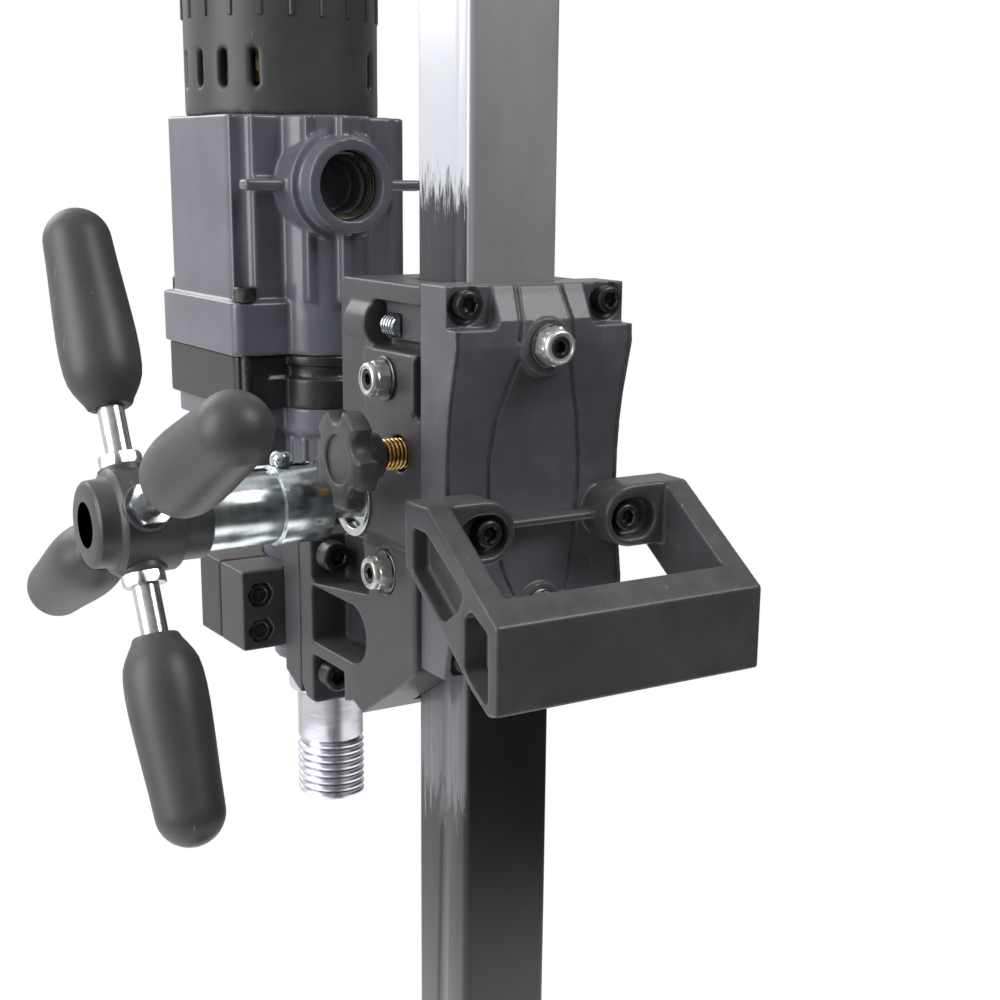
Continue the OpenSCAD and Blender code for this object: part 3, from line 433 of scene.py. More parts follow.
@dataclass(frozen=True)
class FloorFade:
    """Pale floor that thins out to nothing round the rig."""

    name: str = "pale_floor"
    inner: float = 0.45
    outer: float = 0.85
    glow: float = 0.3

    def build(self) -> bpy.types.Material:
        """Makes the material.

        Returns:
            The finished material.
        """
        kit = ShaderKit(self.name)
        reach = kit.add("ShaderNodeVectorMath", {"operation": "LENGTH"}, {0: kit.place}, "Value")
        edge = reach.over((self.inner + self.outer) / 2, self.outer - self.inner)
        cloud = kit.noise(3.0)
        kit.set(Base_Color=kit.blend(cloud, (0.88, 0.88, 0.88), (0.92, 0.92, 0.92)), Roughness=0.7,
                Alpha=1.0 - edge, Emission_Color=(1.0, 1.0, 1.0), Emission_Strength=self.glow)
        return kit.material


class Palette:
    """Builds each finish once and hands out the materials."""

    def __init__(self) -> None:
        """Starts empty."""
        self.made: dict[str, bpy.types.Material] = {}

    def of(self, finish: "Finish | ColumnPaintedReflection | FloorFade") -> bpy.types.Material:
        """Material of a finish, built at its first use."""
        if finish.name not in self.made:
            self.made[finish.name] = finish.build()
        return self.made[finish.name]


PALETTE = Palette()


def settle(obj: bpy.types.Object, name: str, finishes: Sequence[Any],
           nodes: Sequence[str] = (), angle: float = 32.0, near: str = "") -> bpy.types.Object:
    """Names, shades and dresses a finished piece and ties it to its body.

    Args:
        obj: the mesh object, at the origin.
        name: the piece's name.
        finishes: one finish for each material index.
        nodes: the plain nodes that it stands for.
        angle: edges sharper than this stay crisp, in degrees.
        near: a node on the same body, for a piece that stands for none.

    Returns:
        The object.
    """
    obj.name = name
    obj.data.name = name
    obj.data.materials.clear()
    for finish in finishes:
        obj.data.materials.append(PALETTE.of(finish))
    obj.data.shade_smooth()
    obj.data.set_sharp_from_angle(angle=math.radians(angle))
    body = bpy.data.objects[nodes[0] if nodes else near]["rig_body"]
    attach(obj, body)
    if nodes:
        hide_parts(*nodes)
    LOG.info("%s: %d faces on %s", name, len(obj.data.polygons), body)
    return obj


def new_object(name: str, mesh: bpy.types.Mesh) -> bpy.types.Object:
    """Puts a mesh in the scene."""
    obj = bpy.data.objects.new(name, mesh)
    bpy.context.scene.collection.objects.link(obj)
    return obj


def plain_copy(obj: bpy.types.Object) -> bpy.types.Mesh:
    """Evaluates an object's modifiers into a new plain mesh."""
    depsgraph = bpy.context.evaluated_depsgraph_get()
    depsgraph.update()
    mesh = bpy.data.meshes.new_from_object(obj.evaluated_get(depsgraph))
    return mesh


def circle(radius: float) -> Radius:
    """Round section, radius in millimetres."""
    return lambda angle: radius


def hexagon(across: float, limit: float = 1e9) -> Radius:
    """Hexagon section.

    Args:
        across: width across flats, in millimetres.
        limit: largest radius, which chamfers the corners.

    Returns:
        Radius at each angle.
    """
    def radius(angle: float) -> float:
        """Radius of the hexagon at an angle."""
        part = (angle % (math.pi / 3)) - math.pi / 6
        return min(across / 2 / math.cos(part), limit)
    return radius


def knurl(radius: float, count: int, depth: float) -> Radius:
    """Section with shallow V ridges.

    Args:
        radius: outer radius, in millimetres.
        count: number of ridges.
        depth: depth of a groove.

    Returns:
        Radius at each angle.
    """
    return lambda angle: radius - depth * abs(((angle * count / (2 * math.pi)) % 1.0) * 2.0 - 1.0)


@dataclass
class Turned:
    """A closed shape lofted through rings: (height in mm, section), with a matching hole.

    The rings run from the outer foot, over the top, and down inside; the last ring joins
    the first if the shape is a tube, or both ends close with a fan.
    """

    rings: Sequence[tuple[float, Radius]]
    count: int = 48
    tube: bool = False
    tones: dict[int, int] = field(default_factory=dict)

    def into(self, mesh: bmesh.types.BMesh, frame: Matrix) -> None:
        """Adds the shape to a mesh.

        Args:
            mesh: the mesh to fill.
            frame: place and direction, in metres.
        """
        rows = []
        for height, section in self.rings:
            row = []
            for i in range(self.count):
                angle = 2 * math.pi * i / self.count
                r = section(angle) * MM
                row.append(mesh.verts.new(frame @ Vector((r * math.cos(angle), r * math.sin(angle),
                                                          height * MM))))
            rows.append(row)
        pairs = list(zip(rows, rows[1:]))
        if self.tube:
            pairs.append((rows[-1], rows[0]))
        for k, (low, high) in enumerate(pairs):
            for i in range(self.count):
                j = (i + 1) % self.count
                face = mesh.faces.new((low[i], low[j], high[j], high[i]))
                face.material_index = self.tones.get(k, 0)
        if not self.tube:
            for row, flip in ((rows[0], True), (rows[-1], False)):
                face = mesh.faces.new(list(reversed(row)) if flip else row)
                face.material_index = self.tones.get(-1, 0) if flip else self.tones.get(len(pairs), 0)


def mesh_of(fill: Callable[[bmesh.types.BMesh], None], name: str) -> bpy.types.Mesh:
    """Runs a filling function on an empty mesh and closes it up with outward faces."""
    work = bmesh.new()
    fill(work)
    bmesh.ops.recalc_face_normals(work, faces=work.faces)
    mesh = bpy.data.meshes.new(name)
    work.to_mesh(mesh)
    work.free()
    return mesh


class NodeTree:
    """Small builder for Geometry Nodes trees."""

    def __init__(self, name: str, inputs: Sequence[tuple[str, str]]) -> None:
        """Creates the tree with a geometry input, named inputs and a geometry output."""
        self.tree = bpy.data.node_groups.new(name, "GeometryNodeTree")
        face = self.tree.interface
        face.new_socket("Geometry", in_out="INPUT", socket_type="NodeSocketGeometry")
        self.keys: dict[str, str] = {}
        for label, kind in inputs:
            self.keys[label] = face.new_socket(label, in_out="INPUT", socket_type=kind).identifier
        face.new_socket("Geometry", in_out="OUTPUT", socket_type="NodeSocketGeometry")
        self.start = self.tree.nodes.new("NodeGroupInput")
        self.end = self.tree.nodes.new("NodeGroupOutput")

    def add(self, kind: str, settings: dict[str, Any], values: dict[Any, Any]) -> bpy.types.Node:
        """Adds a node.

        Args:
            kind: the node's type.
            settings: node settings, set first.
            values: socket to a value or an output socket.

        Returns:
            The node.
        """
        node = self.tree.nodes.new(kind)
        for key, value in settings.items():
            setattr(node, key, value)
        for key, value in values.items():
            if isinstance(value, bpy.types.NodeSocket):
                self.tree.links.new(value, node.inputs[key])
            else:
                node.inputs[key].default_value = value
        return node

    def given(self, label: str) -> bpy.types.NodeSocket:
        """Output socket of a named input."""
        return self.start.outputs[label]

    def close(self, geometry: bpy.types.NodeSocket) -> None:
        """Ends the tree in Realize Instances and Set Material."""
        real = self.add("GeometryNodeRealizeInstances", {}, {"Geometry": geometry})
        dress = self.add("GeometryNodeSetMaterial", {}, {"Geometry": real.outputs[0],
                                                         "Material": self.given("Material")})
        self.tree.links.new(dress.outputs[0], self.end.inputs[0])

    def run(self, base: bpy.types.Mesh, values: dict[str, Any]) -> bpy.types.Mesh:
        """Runs the tree once and returns a plain mesh.

        Args:
            base: mesh that enters the tree.
            values: named inputs.

        Returns:
            The resulting mesh.
        """
        holder = new_object("work", base)
        modifier = holder.modifiers.new("nodes", "NODES")
        modifier.node_group = self.tree
        for label, value in values.items():
            modifier[self.keys[label]] = value
        mesh = plain_copy(holder)
        bpy.data.objects.remove(holder)
        return mesh


class SetOut(NodeTree):
    """Sets copies of a prototype on points that carry a turn."""

    def __init__(self) -> None:
        """Builds the tree."""
        super().__init__("set_out_fasteners", [("Prototype", "NodeSocketObject"),
                                               ("Size", "NodeSocketFloat"),
                                               ("Material", "NodeSocketMaterial")])
        info = self.add("GeometryNodeObjectInfo", {}, {"Object": self.given("Prototype")})
        turn = self.add("GeometryNodeInputNamedAttribute", {"data_type": "FLOAT_VECTOR"},
                        {"Name": "turn"})
        put = self.add("GeometryNodeInstanceOnPoints", {},
                       {"Points": self.given("Geometry"), "Instance": info.outputs["Geometry"],
                        "Rotation": turn.outputs[0], "Scale": self.given("Size")})
        self.close(put.outputs[0])

    def spread(self, prototype: bpy.types.Mesh, frames: Sequence[Matrix],
               finish: Any) -> bpy.types.Mesh:
        """Copies a prototype to each frame.

        Args:
            prototype: the piece, at the origin, in metres.
            frames: where each copy goes.
            finish: finish that the tree sets.

        Returns:
            One mesh with all copies.
        """
        base = bpy.data.meshes.new("points")
        base.from_pydata([frame.translation for frame in frames], [], [])
        turns = base.attributes.new("turn", "FLOAT_VECTOR", "POINT")
        for item, frame in zip(turns.data, frames):
            item.vector = frame.to_euler()
        model = new_object("prototype", prototype)
        mesh = self.run(base, {"Prototype": model, "Size": 1.0, "Material": PALETTE.of(finish)})
        bpy.data.objects.remove(model)
        return mesh


class Coil(NodeTree):
    """Sweeps a round or ridged section along a helix."""

    def __init__(self, ridged: bool) -> None:
        """Builds the tree for wire, or for a screw thread's ridge."""
        super().__init__("thread_ridge" if ridged else "wound_wire",
                         [("Radius", "NodeSocketFloat"), ("Turns", "NodeSocketFloat"),
                          ("Length", "NodeSocketFloat"), ("Section", "NodeSocketFloat"),
                          ("Steps", "NodeSocketInt"), ("Material", "NodeSocketMaterial")])
        path = self.add("GeometryNodeCurveSpiral", {},
                        {"Resolution": self.given("Steps"), "Rotations": self.given("Turns"),
                         "Start Radius": self.given("Radius"), "End Radius": self.given("Radius"),
                         "Height": self.given("Length")})
        upright = self.add("GeometryNodeSetCurveNormal", {"mode": "Z_UP"}, {"Curve": path.outputs[0]})
        section = self.add("GeometryNodeCurvePrimitiveCircle", {},
                           {"Resolution": 8 if ridged else 10, "Radius": self.given("Section")})
        sweep = self.add("GeometryNodeCurveToMesh", {},
                         {"Curve": upright.outputs[0], "Profile Curve": section.outputs[0],
                          "Fill Caps": True})
        self.close(sweep.outputs[0])


def join(name: str, meshes: Sequence[bpy.types.Mesh]) -> bpy.types.Object:
    """Joins meshes into one object; each mesh keeps its place in the material list."""
    work = bmesh.new()
    for index, mesh in enumerate(meshes):
        before = len(work.faces)
        work.from_mesh(mesh)
        work.faces.ensure_lookup_table()
        for face in work.faces[before:]:
            face.material_index = index
    mesh = bpy.data.meshes.new(name)
    work.to_mesh(mesh)
    work.free()
    return new_object(name, mesh)


def centre(node: str) -> Vector:
    """Middle of a node's box."""
    low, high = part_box(node)
    return (low + high) / 2


def solids(node: str) -> list[tuple[Vector, Vector]]:
    """Boxes of the separate solids in a node, sorted by X, Y and Z.

    Args:
        node: the node's name.

    Returns:
        Lowest and highest corners of each solid.
    """
    work = bmesh.new()
    work.from_mesh(bpy.data.objects[node].data)
    bmesh.ops.remove_doubles(work, verts=work.verts, dist=2e-6)
    left = set(work.verts)
    found = []
    while left:
        front = [left.pop()]
        group = list(front)
        while front:
            vert = front.pop()
            for edge in vert.link_edges:
                other = edge.other_vert(vert)
                if other in left:
                    left.remove(other)
                    group.append(other)
                    front.append(other)
        places = [vert.co for vert in group]
        low = Vector(min(place[i] for place in places) for i in range(3))
        high = Vector(max(place[i] for place in places) for i in range(3))
        found.append((low, high))
    work.free()
    return sorted(found, key=lambda pair: tuple(round(v, 5) for v in pair[0]))


def seat_frame(pair: tuple[Vector, Vector], axis: Axis, depth: float) -> Matrix:
    """Frame on the centre line of a solid, set back from its outer end.

    Args:
        pair: the solid's box.
        axis: direction in which the piece points.
        depth: distance back from the outer end, in millimetres.

    Returns:
        The frame, local Z along the axis.
    """
    low, high = pair
    way = Vector(axis.value)
    middle = (low + high) / 2
    reach = sum(abs(way[i]) * (high[i] - low[i]) for i in range(3)) / 2
    return axis.frame(middle + way * (reach - depth * MM))


def outward(pair: tuple[Vector, Vector], limit: float = 0.03) -> Axis:
    """Direction of a fastener: sideways when it lies far from the middle, else to the rear."""
    middle = (pair[0] + pair[1]) / 2
    if middle.x > limit:
        return Axis.X
    return Axis.NX if middle.x < -limit else Axis.NY


def merged(node: str) -> bpy.types.Mesh:
    """Copy of a node's mesh with its loose triangles merged."""
    work = bmesh.new()
    work.from_mesh(bpy.data.objects[node].data)
    bmesh.ops.remove_doubles(work, verts=work.verts, dist=2e-6)
    mesh = bpy.data.meshes.new(node + "_copy")
    work.to_mesh(mesh)
    work.free()
    return mesh


@dataclass
class Casting:
    """A cast or moulded piece: a node's shape with every edge rounded over."""

    name: str
    node: str
    finish: Finish
    slot: str
    voxel: float = 0.8
    soften: int = 5
    limit: int = 110000
    angle: float = 60.0

    def build(self) -> bpy.types.Object:
        """Rounds the shape over and dresses it.

        Returns:
            The piece.
        """
        obj = new_object(self.name, merged(self.node))
        tools = [self.trim(obj, *block) for block in self.blocks()]
        remesh = obj.modifiers.new("voxels", "REMESH")
        remesh.mode = "VOXEL"
        remesh.voxel_size = self.voxel * MM
        remesh.adaptivity = 0.0
        smooth = obj.modifiers.new("soften", "SMOOTH")
        smooth.factor = 0.5
        smooth.iterations = self.soften
        mesh = plain_copy(obj)
        for tool in tools:
            bpy.data.objects.remove(tool)
        triangles = 2 * len(mesh.polygons)
        if triangles > self.limit:
            obj.modifiers.clear()
            obj.data = mesh
            thin = obj.modifiers.new("thin", "DECIMATE")
            thin.ratio = self.limit / triangles
            mesh = plain_copy(obj)
        obj.modifiers.clear()
        obj.data = mesh
        return settle(obj, self.name, [self.finish], [self.node], self.angle)

    def blocks(self) -> list[tuple[str, Vector, Vector]]:
        """Blocks added to the shape or cut from it: operation, lowest and highest corner."""
        return []

    @staticmethod
    def trim(obj: bpy.types.Object, operation: str, low: Vector, high: Vector) -> bpy.types.Object:
        """Adds a block to a piece, or cuts one from it.

        Args:
            obj: the piece.
            operation: UNION or DIFFERENCE.
            low: the block's lowest corner.
            high: its highest corner.

        Returns:
            The block, to be removed when the piece is finished.
        """
        work = bmesh.new()
        made = bmesh.ops.create_cube(work, size=1.0)
        bmesh.ops.scale(work, vec=high - low, verts=made["verts"])
        bmesh.ops.translate(work, vec=(low + high) / 2, verts=made["verts"])
        mesh = bpy.data.meshes.new("block")
        work.to_mesh(mesh)
        work.free()
        tool = new_object("block", mesh)
        joined = obj.modifiers.new(operation.lower(), "BOOLEAN")
        joined.operation = operation
        joined.solver = "EXACT"
        joined.object = tool
        return tool


@dataclass
class GripCasting(Casting):
    """Grip handle with a slim bar, so that a wide gap stays open behind it."""

    arm: float = 10.0
    bar: float = 10.5
    skin: float = 3.0
    slope: float = 31.0
    foot: float = 3.3

    def blocks(self) -> list[tuple[str, Vector, Vector]]:
        """Core that fills the bar between the arms, and the gap cut behind it."""
        low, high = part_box(self.node)
        side, back = high.x - self.arm * MM, low.y + self.bar * MM
        core = (Vector((-side, low.y + self.skin * MM, low.z + self.foot * MM)),
                Vector((side, back, high.z - self.slope * MM)))
        gap = (Vector((-side, back, low.z - self.skin * MM)),
               Vector((side, back + 2 * self.bar * MM, high.z)))
        return [("UNION", *core), ("DIFFERENCE", *gap)]


@dataclass
class Machined:
    """A turned, milled or pressed piece: a node's shape with fine broken edges."""

    name: str
    node: str
    finish: Any
    slot: str
    edge: float = 0.3
    steps: int = 2

    def build(self) -> bpy.types.Object:
        """Breaks the edges and dresses the piece.

        Returns:
            The piece.
        """
        obj = new_object(self.name, merged(self.node))
        work = bmesh.new()
        work.from_mesh(obj.data)
        bmesh.ops.dissolve_limit(work, angle_limit=math.radians(0.6), verts=work.verts,
                                 edges=work.edges)
        work.to_mesh(obj.data)
        work.free()
        bevel = obj.modifiers.new("edges", "BEVEL")
        bevel.width = self.edge * MM
        bevel.segments = self.steps
        bevel.limit_method = "ANGLE"
        bevel.angle_limit = math.radians(38.0)
        bevel.use_clamp_overlap = True
        mesh = plain_copy(obj)
        obj.modifiers.clear()
        obj.data = mesh
        return settle(obj, self.name, [self.finish], [self.node], 34.0)


@dataclass
class SocketScrews:
    """Socket head cap screws: ribbed head, chamfered rim and hexagon socket."""

    name: str
    node: str
    head_r: float
    head_h: float
    socket: float
    shank: float
    length: float
    finish: Finish = SCREW_BLACK
    slot: str = "black_screw"
    ribs: int = 36
    axis: Axis | None = None

    def prototype(self) -> bpy.types.Mesh:
        """One screw, seat of its head at the origin, head along Z."""
        r, h, hexa = self.head_r, self.head_h, hexagon(self.socket)
        side = knurl(r, self.ribs, 0.22)
        deep = h * 0.55
        head = Turned([(-self.length, circle(self.shank - 0.6)),
                       (0.8 - self.length, circle(self.shank)),
                       (0.0, circle(self.shank)), (0.0, circle(r - 0.35)), (0.35, circle(r - 0.05)),
                       (0.6, side), (h - 0.95, side), (h - 0.75, circle(r - 0.1)),
                       (h - 0.25, circle(r - 0.45)), (h, circle(r - 0.95)),
                       (h, circle(self.socket * 0.62)), (h - 0.4, hexagon(self.socket + 0.15)),
                       (h - 0.55, hexa), (h - deep, hexa), (h - deep - 0.9, circle(0.4))],
                      count=self.ribs * 2)
        return mesh_of(lambda work: head.into(work, Matrix()), self.name)

    def build(self, setter: SetOut) -> bpy.types.Object:
        """Sets a screw out on each solid of the node.

        Args:
            setter: the tree that copies the prototype.

        Returns:
            The piece.
        """
        frames = [seat_frame(pair, self.axis or outward(pair), self.head_h)
                  @ Matrix.Rotation(0.35 + 0.9 * k, 4, "Z")
                  for k, pair in enumerate(solids(self.node)) if self.is_screw(pair)]
        mesh = setter.spread(self.prototype(), frames, self.finish)
        return settle(new_object(self.name, mesh), self.name, [self.finish], [self.node])

    def is_screw(self, pair: tuple[Vector, Vector]) -> bool:
        """True for a solid that is longer than a washer."""
        return max(pair[1] - pair[0]) > 1.4 * self.head_r * MM * 2 or self.length < 10


@dataclass
class AdjusterSet:
    """Guide adjusters: set screw, self-locking nut with its collar, and washer."""

    across: float = 13.0
    hex_h: float = 5.4
    collar_h: float = 2.1
    thread_r: float = 4.0
    socket: float = 4.2

    def nut_body(self) -> bpy.types.Mesh:
        """Hexagon of a nut with chamfered corners, seat at the origin."""
        corner = self.across / 2 / math.cos(math.pi / 6)
        flats = hexagon(self.across, corner - 0.12)
        shape = Turned([(0.0, circle(self.thread_r + 0.02)), (0.0, hexagon(self.across, corner - 1.0)),
                        (0.45, flats), (self.hex_h - 0.55, flats),
                        (self.hex_h, hexagon(self.across, corner - 1.15)),
                        (self.hex_h, circle(self.thread_r + 0.02))], count=72, tube=True)
        return mesh_of(lambda work: shape.into(work, Matrix()), "nut_body")

    def nut_collar(self) -> bpy.types.Mesh:
        """Rounded collar on top of the hexagon, crimped over its insert."""
        low, top, r = self.hex_h - 0.02, self.hex_h + self.collar_h, self.across / 2 + 0.1
        shape = Turned([(low, circle(self.thread_r + 0.02)), (low, circle(r - 0.05)),
                        (low + 0.5, circle(r - 0.1)), (top - 0.7, circle(r - 0.35)),
                        (top - 0.2, circle(r - 0.75)), (top, circle(r - 1.25)),
                        (top - 0.1, circle(r - 1.6)), (top - 0.5, circle(r - 1.85)),
                        (top - 0.6, circle(self.thread_r + 0.05))], count=64, tube=True)
        return mesh_of(lambda work: shape.into(work, Matrix()), "nut_collar")

    def set_screw(self) -> bpy.types.Mesh:
        """End of a set screw: thread crests, chamfer and hexagon socket, tip at the origin."""
        r = self.thread_r
        rings: list[tuple[float, Radius]] = [(-20.0, circle(r - 0.6))]
        for k in range(9):
            rings += [(-9.6 + k, circle(r - 0.45)), (-9.1 + k, circle(r))]
        rings += [(-0.6, circle(r - 0.05)), (0.0, circle(r - 0.6)), (0.0, circle(self.socket * 0.62)),
                  (-0.35, hexagon(self.socket)), (-4.6, hexagon(self.socket)), (-5.4, circle(0.4))]
        return mesh_of(lambda work: Turned(rings, count=48).into(work, Matrix()), "set_screw")

    def washer(self, outer: float, thick: float) -> bpy.types.Mesh:
        """Flat washer with rounded rims, lying below the origin."""
        shape = Turned([(-thick, circle(self.thread_r + 0.05)), (-thick, circle(outer - 0.25)),
                        (-thick + 0.2, circle(outer)), (-0.25, circle(outer)),
                        (0.0, circle(outer - 0.3)),
                        (0.0, circle(self.thread_r + 0.05))], count=64, tube=True)
        return mesh_of(lambda work: shape.into(work, Matrix()), "washer")

    def build(self, setter: SetOut) -> list[bpy.types.Object]:
        """Sets out the nuts, set screws and washers.

        Args:
            setter: the tree that copies the prototypes.

        Returns:
            The three pieces.
        """
        total = self.hex_h + self.collar_h
        frames = [seat_frame(pair, outward(pair), total) @ Matrix.Rotation(0.2 + 1.1 * k, 4, "Z")
                  for k, pair in enumerate(solids("adjuster_nuts"))]
        nuts = join("adjuster_nut_set", [setter.spread(self.nut_body(), frames, NUT_ZINC),
                                         setter.spread(self.nut_collar(), frames, NUT_COLLAR)])
        settle(nuts, "adjuster_nut_set", [NUT_ZINC, NUT_COLLAR], ["adjuster_nuts"])
        tips = [seat_frame(pair, outward(pair, 0.02), 0.0) @ Matrix.Rotation(0.5 * k, 4, "Z")
                for k, pair in enumerate(solids("adjuster_screws"))]
        screws = new_object("adjuster_screw_set", setter.spread(self.set_screw(), tips, SCREW_BLACK))
        settle(screws, "adjuster_screw_set", [SCREW_BLACK], ["adjuster_screws"])
        rests = [(seat_frame(pair, outward(pair), 0.0), pair) for pair in solids("adjuster_washers")]
        wide = [frame for frame, pair in rests if outward(pair) is not Axis.NY]
        small = [frame for frame, pair in rests if outward(pair) is Axis.NY]
        washers = join("adjuster_washer_set", [
            setter.spread(self.washer(8.4, 1.4), wide, WASHER_GREY),
            setter.spread(self.washer(7.9, 1.2), small, WASHER_GREY)])
        settle(washers, "adjuster_washer_set", [WASHER_GREY, WASHER_GREY],
               ["adjuster_washers"])
        return [nuts, screws, washers]


@dataclass
class PlainRings:
    """Flat and spring washers, hexagon nuts and bolt ends made from one ring list."""

    name: str
    node: str
    rings: Sequence[tuple[float, Radius]]
    finish: Finish
    slot: str
    axis: Axis | None = None
    tube: bool = True
    count: int = 48
    back: float = 0.0
    turn: float = 0.3

    def build(self, setter: SetOut) -> bpy.types.Object:
        """Sets the ring out on each solid of the node.

        Args:
            setter: the tree that copies the prototype.

        Returns:
            The piece.
        """
        shape = Turned(self.rings, count=self.count, tube=self.tube)
        prototype = mesh_of(lambda work: shape.into(work, Matrix()), self.name)
        frames = [seat_frame(pair, self.axis or outward(pair, 0.02), self.back)
                  @ Matrix.Rotation(self.turn, 4, "Z") for pair in solids(self.node)]
        mesh = setter.spread(prototype, frames, self.finish)
        return settle(new_object(self.name, mesh), self.name, [self.finish], [self.node])


@dataclass
class LockKnob:
    """Star knob with five U notches, a front face painted lighter as painted light with scuffs, sunk
    round cap, and a round hub behind.
    """

    radius: float = 19.0
    depth: float = 8.5
    notches: int = 5
    notch_r: float = 5.8
    notch_out: float = 0.6
    hub_r: float = 9.2
    hub_h: float = 8.4
    cap_r: float = 9.2
    turn: float = 23.0

    def lobe(self, shrink: float) -> Radius:
        """Star section, drawn in by a distance in millimetres."""
        middle, r = self.radius + self.notch_out, self.notch_r + shrink

        def radius(angle: float) -> float:
            """Radius of the star at an angle."""
            step = 2 * math.pi / self.notches
            part = ((angle + step / 2) % step) - step / 2
            across = middle * math.sin(part)
            full = self.radius - shrink
            if abs(across) >= r:
                return full
            inner = middle * math.cos(part) - math.sqrt(r * r - across * across)
            return min(full, inner)
        return radius

    def build(self) -> list[bpy.types.Object]:
        """Builds the knob.

        Returns:
            The pieces.
        """
        frame = seat_frame(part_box("lock_knob"), Axis.NX, self.depth)
        top, cap, hub = self.depth, self.cap_r, self.hub_r
        shell = Turned([(-self.hub_h, circle(hub - 0.8)), (0.6 - self.hub_h, circle(hub - 0.2)),
                        (-3.0, circle(hub)), (-0.3, circle(hub)), (0.0, self.lobe(1.6)),
                        (0.5, self.lobe(0.5)), (1.3, self.lobe(0.0)), (top - 2.0, self.lobe(0.0)),
                        (top - 0.9, self.lobe(0.3)), (top - 0.3, self.lobe(0.8)),
                        (top, self.lobe(1.5)), (top, circle(cap + 1.2)), (top - 0.1, circle(cap + 0.4)),
                        (top - 0.4, circle(cap + 0.1)), (top - 1.25, circle(cap)),
                        (top - 1.25, circle(cap - 0.8)), (top - 1.0, circle(0.5))], count=210,
                       tones={9: 1, 10: 1, 11: 1, 12: 1, 14: 2, 15: 2, 16: 2})
        turned = frame @ Matrix.Rotation(math.radians(self.turn), 4, "Z")
        knob = new_object("star_knob", mesh_of(lambda work: shell.into(work, turned), "star_knob"))
        # the front face and rim take the painted-light tone, the sunk cap its own insert tone
        settle(knob, "star_knob", [KNOB_PLASTIC, KNOB_FACE_PAINTED_LIGHT, KNOB_CAP],
               ["lock_knob"], 40.0)
        return [knob]

    def spring(self, coil: Coil) -> bpy.types.Object:
        """Winds the spring between the carriage and the washer.

        Args:
            coil: the tree that sweeps the wire.

        Returns:
            The spring.
        """
        low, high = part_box("knob_spring")
        wire = 0.00085
        middle = (low.y + high.y) / 2, (low.z + high.z) / 2
        radius = (high.z - low.z) / 2 - wire
        length = high.x - low.x - 2 * wire
        base = bpy.data.meshes.new("start")
        mesh = coil.run(base, {"Radius": radius, "Turns": 5.6, "Length": length, "Section": wire,
                               "Steps": 44, "Material": PALETTE.of(SPRING_YELLOW)})
        mesh.transform(Axis.X.frame(Vector((low.x + wire, *middle))))
        return settle(new_object("spring_coil", mesh), "spring_coil", [SPRING_YELLOW],
                      ["knob_spring"], 60.0)


@dataclass
class Spindle:
    """Drill spindle: chromed collar and shank, and the bit thread as a true helix."""

    collar_r: float = 19.4
    shank_r: float = 15.6
    root_r: float = 14.35
    pitch: float = 3.63
    collar_top: float = 184.4
    collar_end: float = 202.0
    thread_top: float = 226.8
    bore_r: float = 5.0
    crest_r: float = 15.87
    ridge: float = 1.55

    def build(self, coil: Coil, top: float) -> list[bpy.types.Object]:
        """Builds the shank and the thread below it.

        Args:
            coil: the tree that sweeps the thread's ridge.
            top: height of the carriage top, in metres.

        Returns:
            The spindle.
        """
        low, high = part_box("spindle")
        at = centre("spindle")
        zero = top * 1000

        def z(down: float) -> float:
            """Height of a point given by its distance below the carriage top."""
            return zero - down

        end = low.z / MM
        rings = [(z(46.0), circle(10.0)), (z(self.collar_top), circle(10.0)),
                 (z(self.collar_top), circle(self.collar_r - 0.5)),
                 (z(self.collar_top + 0.5), circle(self.collar_r)),
                 (z(self.collar_end - 0.8), circle(self.collar_r)),
                 (z(self.collar_end), circle(self.collar_r - 0.8)),
                 (z(self.collar_end), circle(self.shank_r)),
                 (z(self.thread_top - 0.6), circle(self.shank_r)),
                 (z(self.thread_top), circle(self.shank_r - 0.7)),
                 (z(self.thread_top + 0.8), circle(self.root_r - 0.3)),
                 (end + 3.2, circle(self.root_r - 0.3)), (end + 0.5, circle(self.root_r - 2.0)),
                 (end, circle(self.root_r - 2.8)), (end, circle(self.bore_r + 0.5)),
                 (end + 0.5, circle(self.bore_r)), (z(172.0), circle(self.bore_r)),
                 (z(171.0), circle(0.5)), (z(171.0), circle(0.3)), (z(60.0), circle(0.3)),
                 (z(46.0), circle(9.0))]
        frame = Matrix.Translation(Vector((at.x, at.y, 0.0)))
        body = Turned(list(reversed(rings)), count=128, tube=True)
        shank = mesh_of(lambda work: body.into(work, frame), "shank")
        turns = (z(self.thread_top + 1.4) - end - 2.6) / self.pitch
        ridge = coil.run(bpy.data.meshes.new("start"),
                         {"Radius": (self.crest_r - self.ridge) * MM, "Turns": turns,
                          "Length": turns * self.pitch * MM, "Section": self.ridge * MM,
                          "Steps": 96, "Material": PALETTE.of(SPINDLE_CHROME)})
        ridge.transform(Matrix.Translation(Vector((at.x, at.y, (end + 2.2) * MM))))
        gear = merged("spindle")
        work = bmesh.new()
        work.from_mesh(gear)
        cut = z(63.0) * MM
        bmesh.ops.bisect_plane(work, geom=work.verts[:] + work.edges[:] + work.faces[:],
                               plane_co=Vector((0, 0, cut)), plane_no=Vector((0, 0, 1)),
                               clear_inner=True)
        bmesh.ops.holes_fill(work, edges=work.edges)
        work.to_mesh(gear)
        work.free()
        obj = join("spindle_shank", [shank, ridge, gear])
        settle(obj, "spindle_shank", [SPINDLE_CHROME, SPINDLE_CHROME, BARE_STEEL],
               ["spindle"], 30.0)
        return [obj]


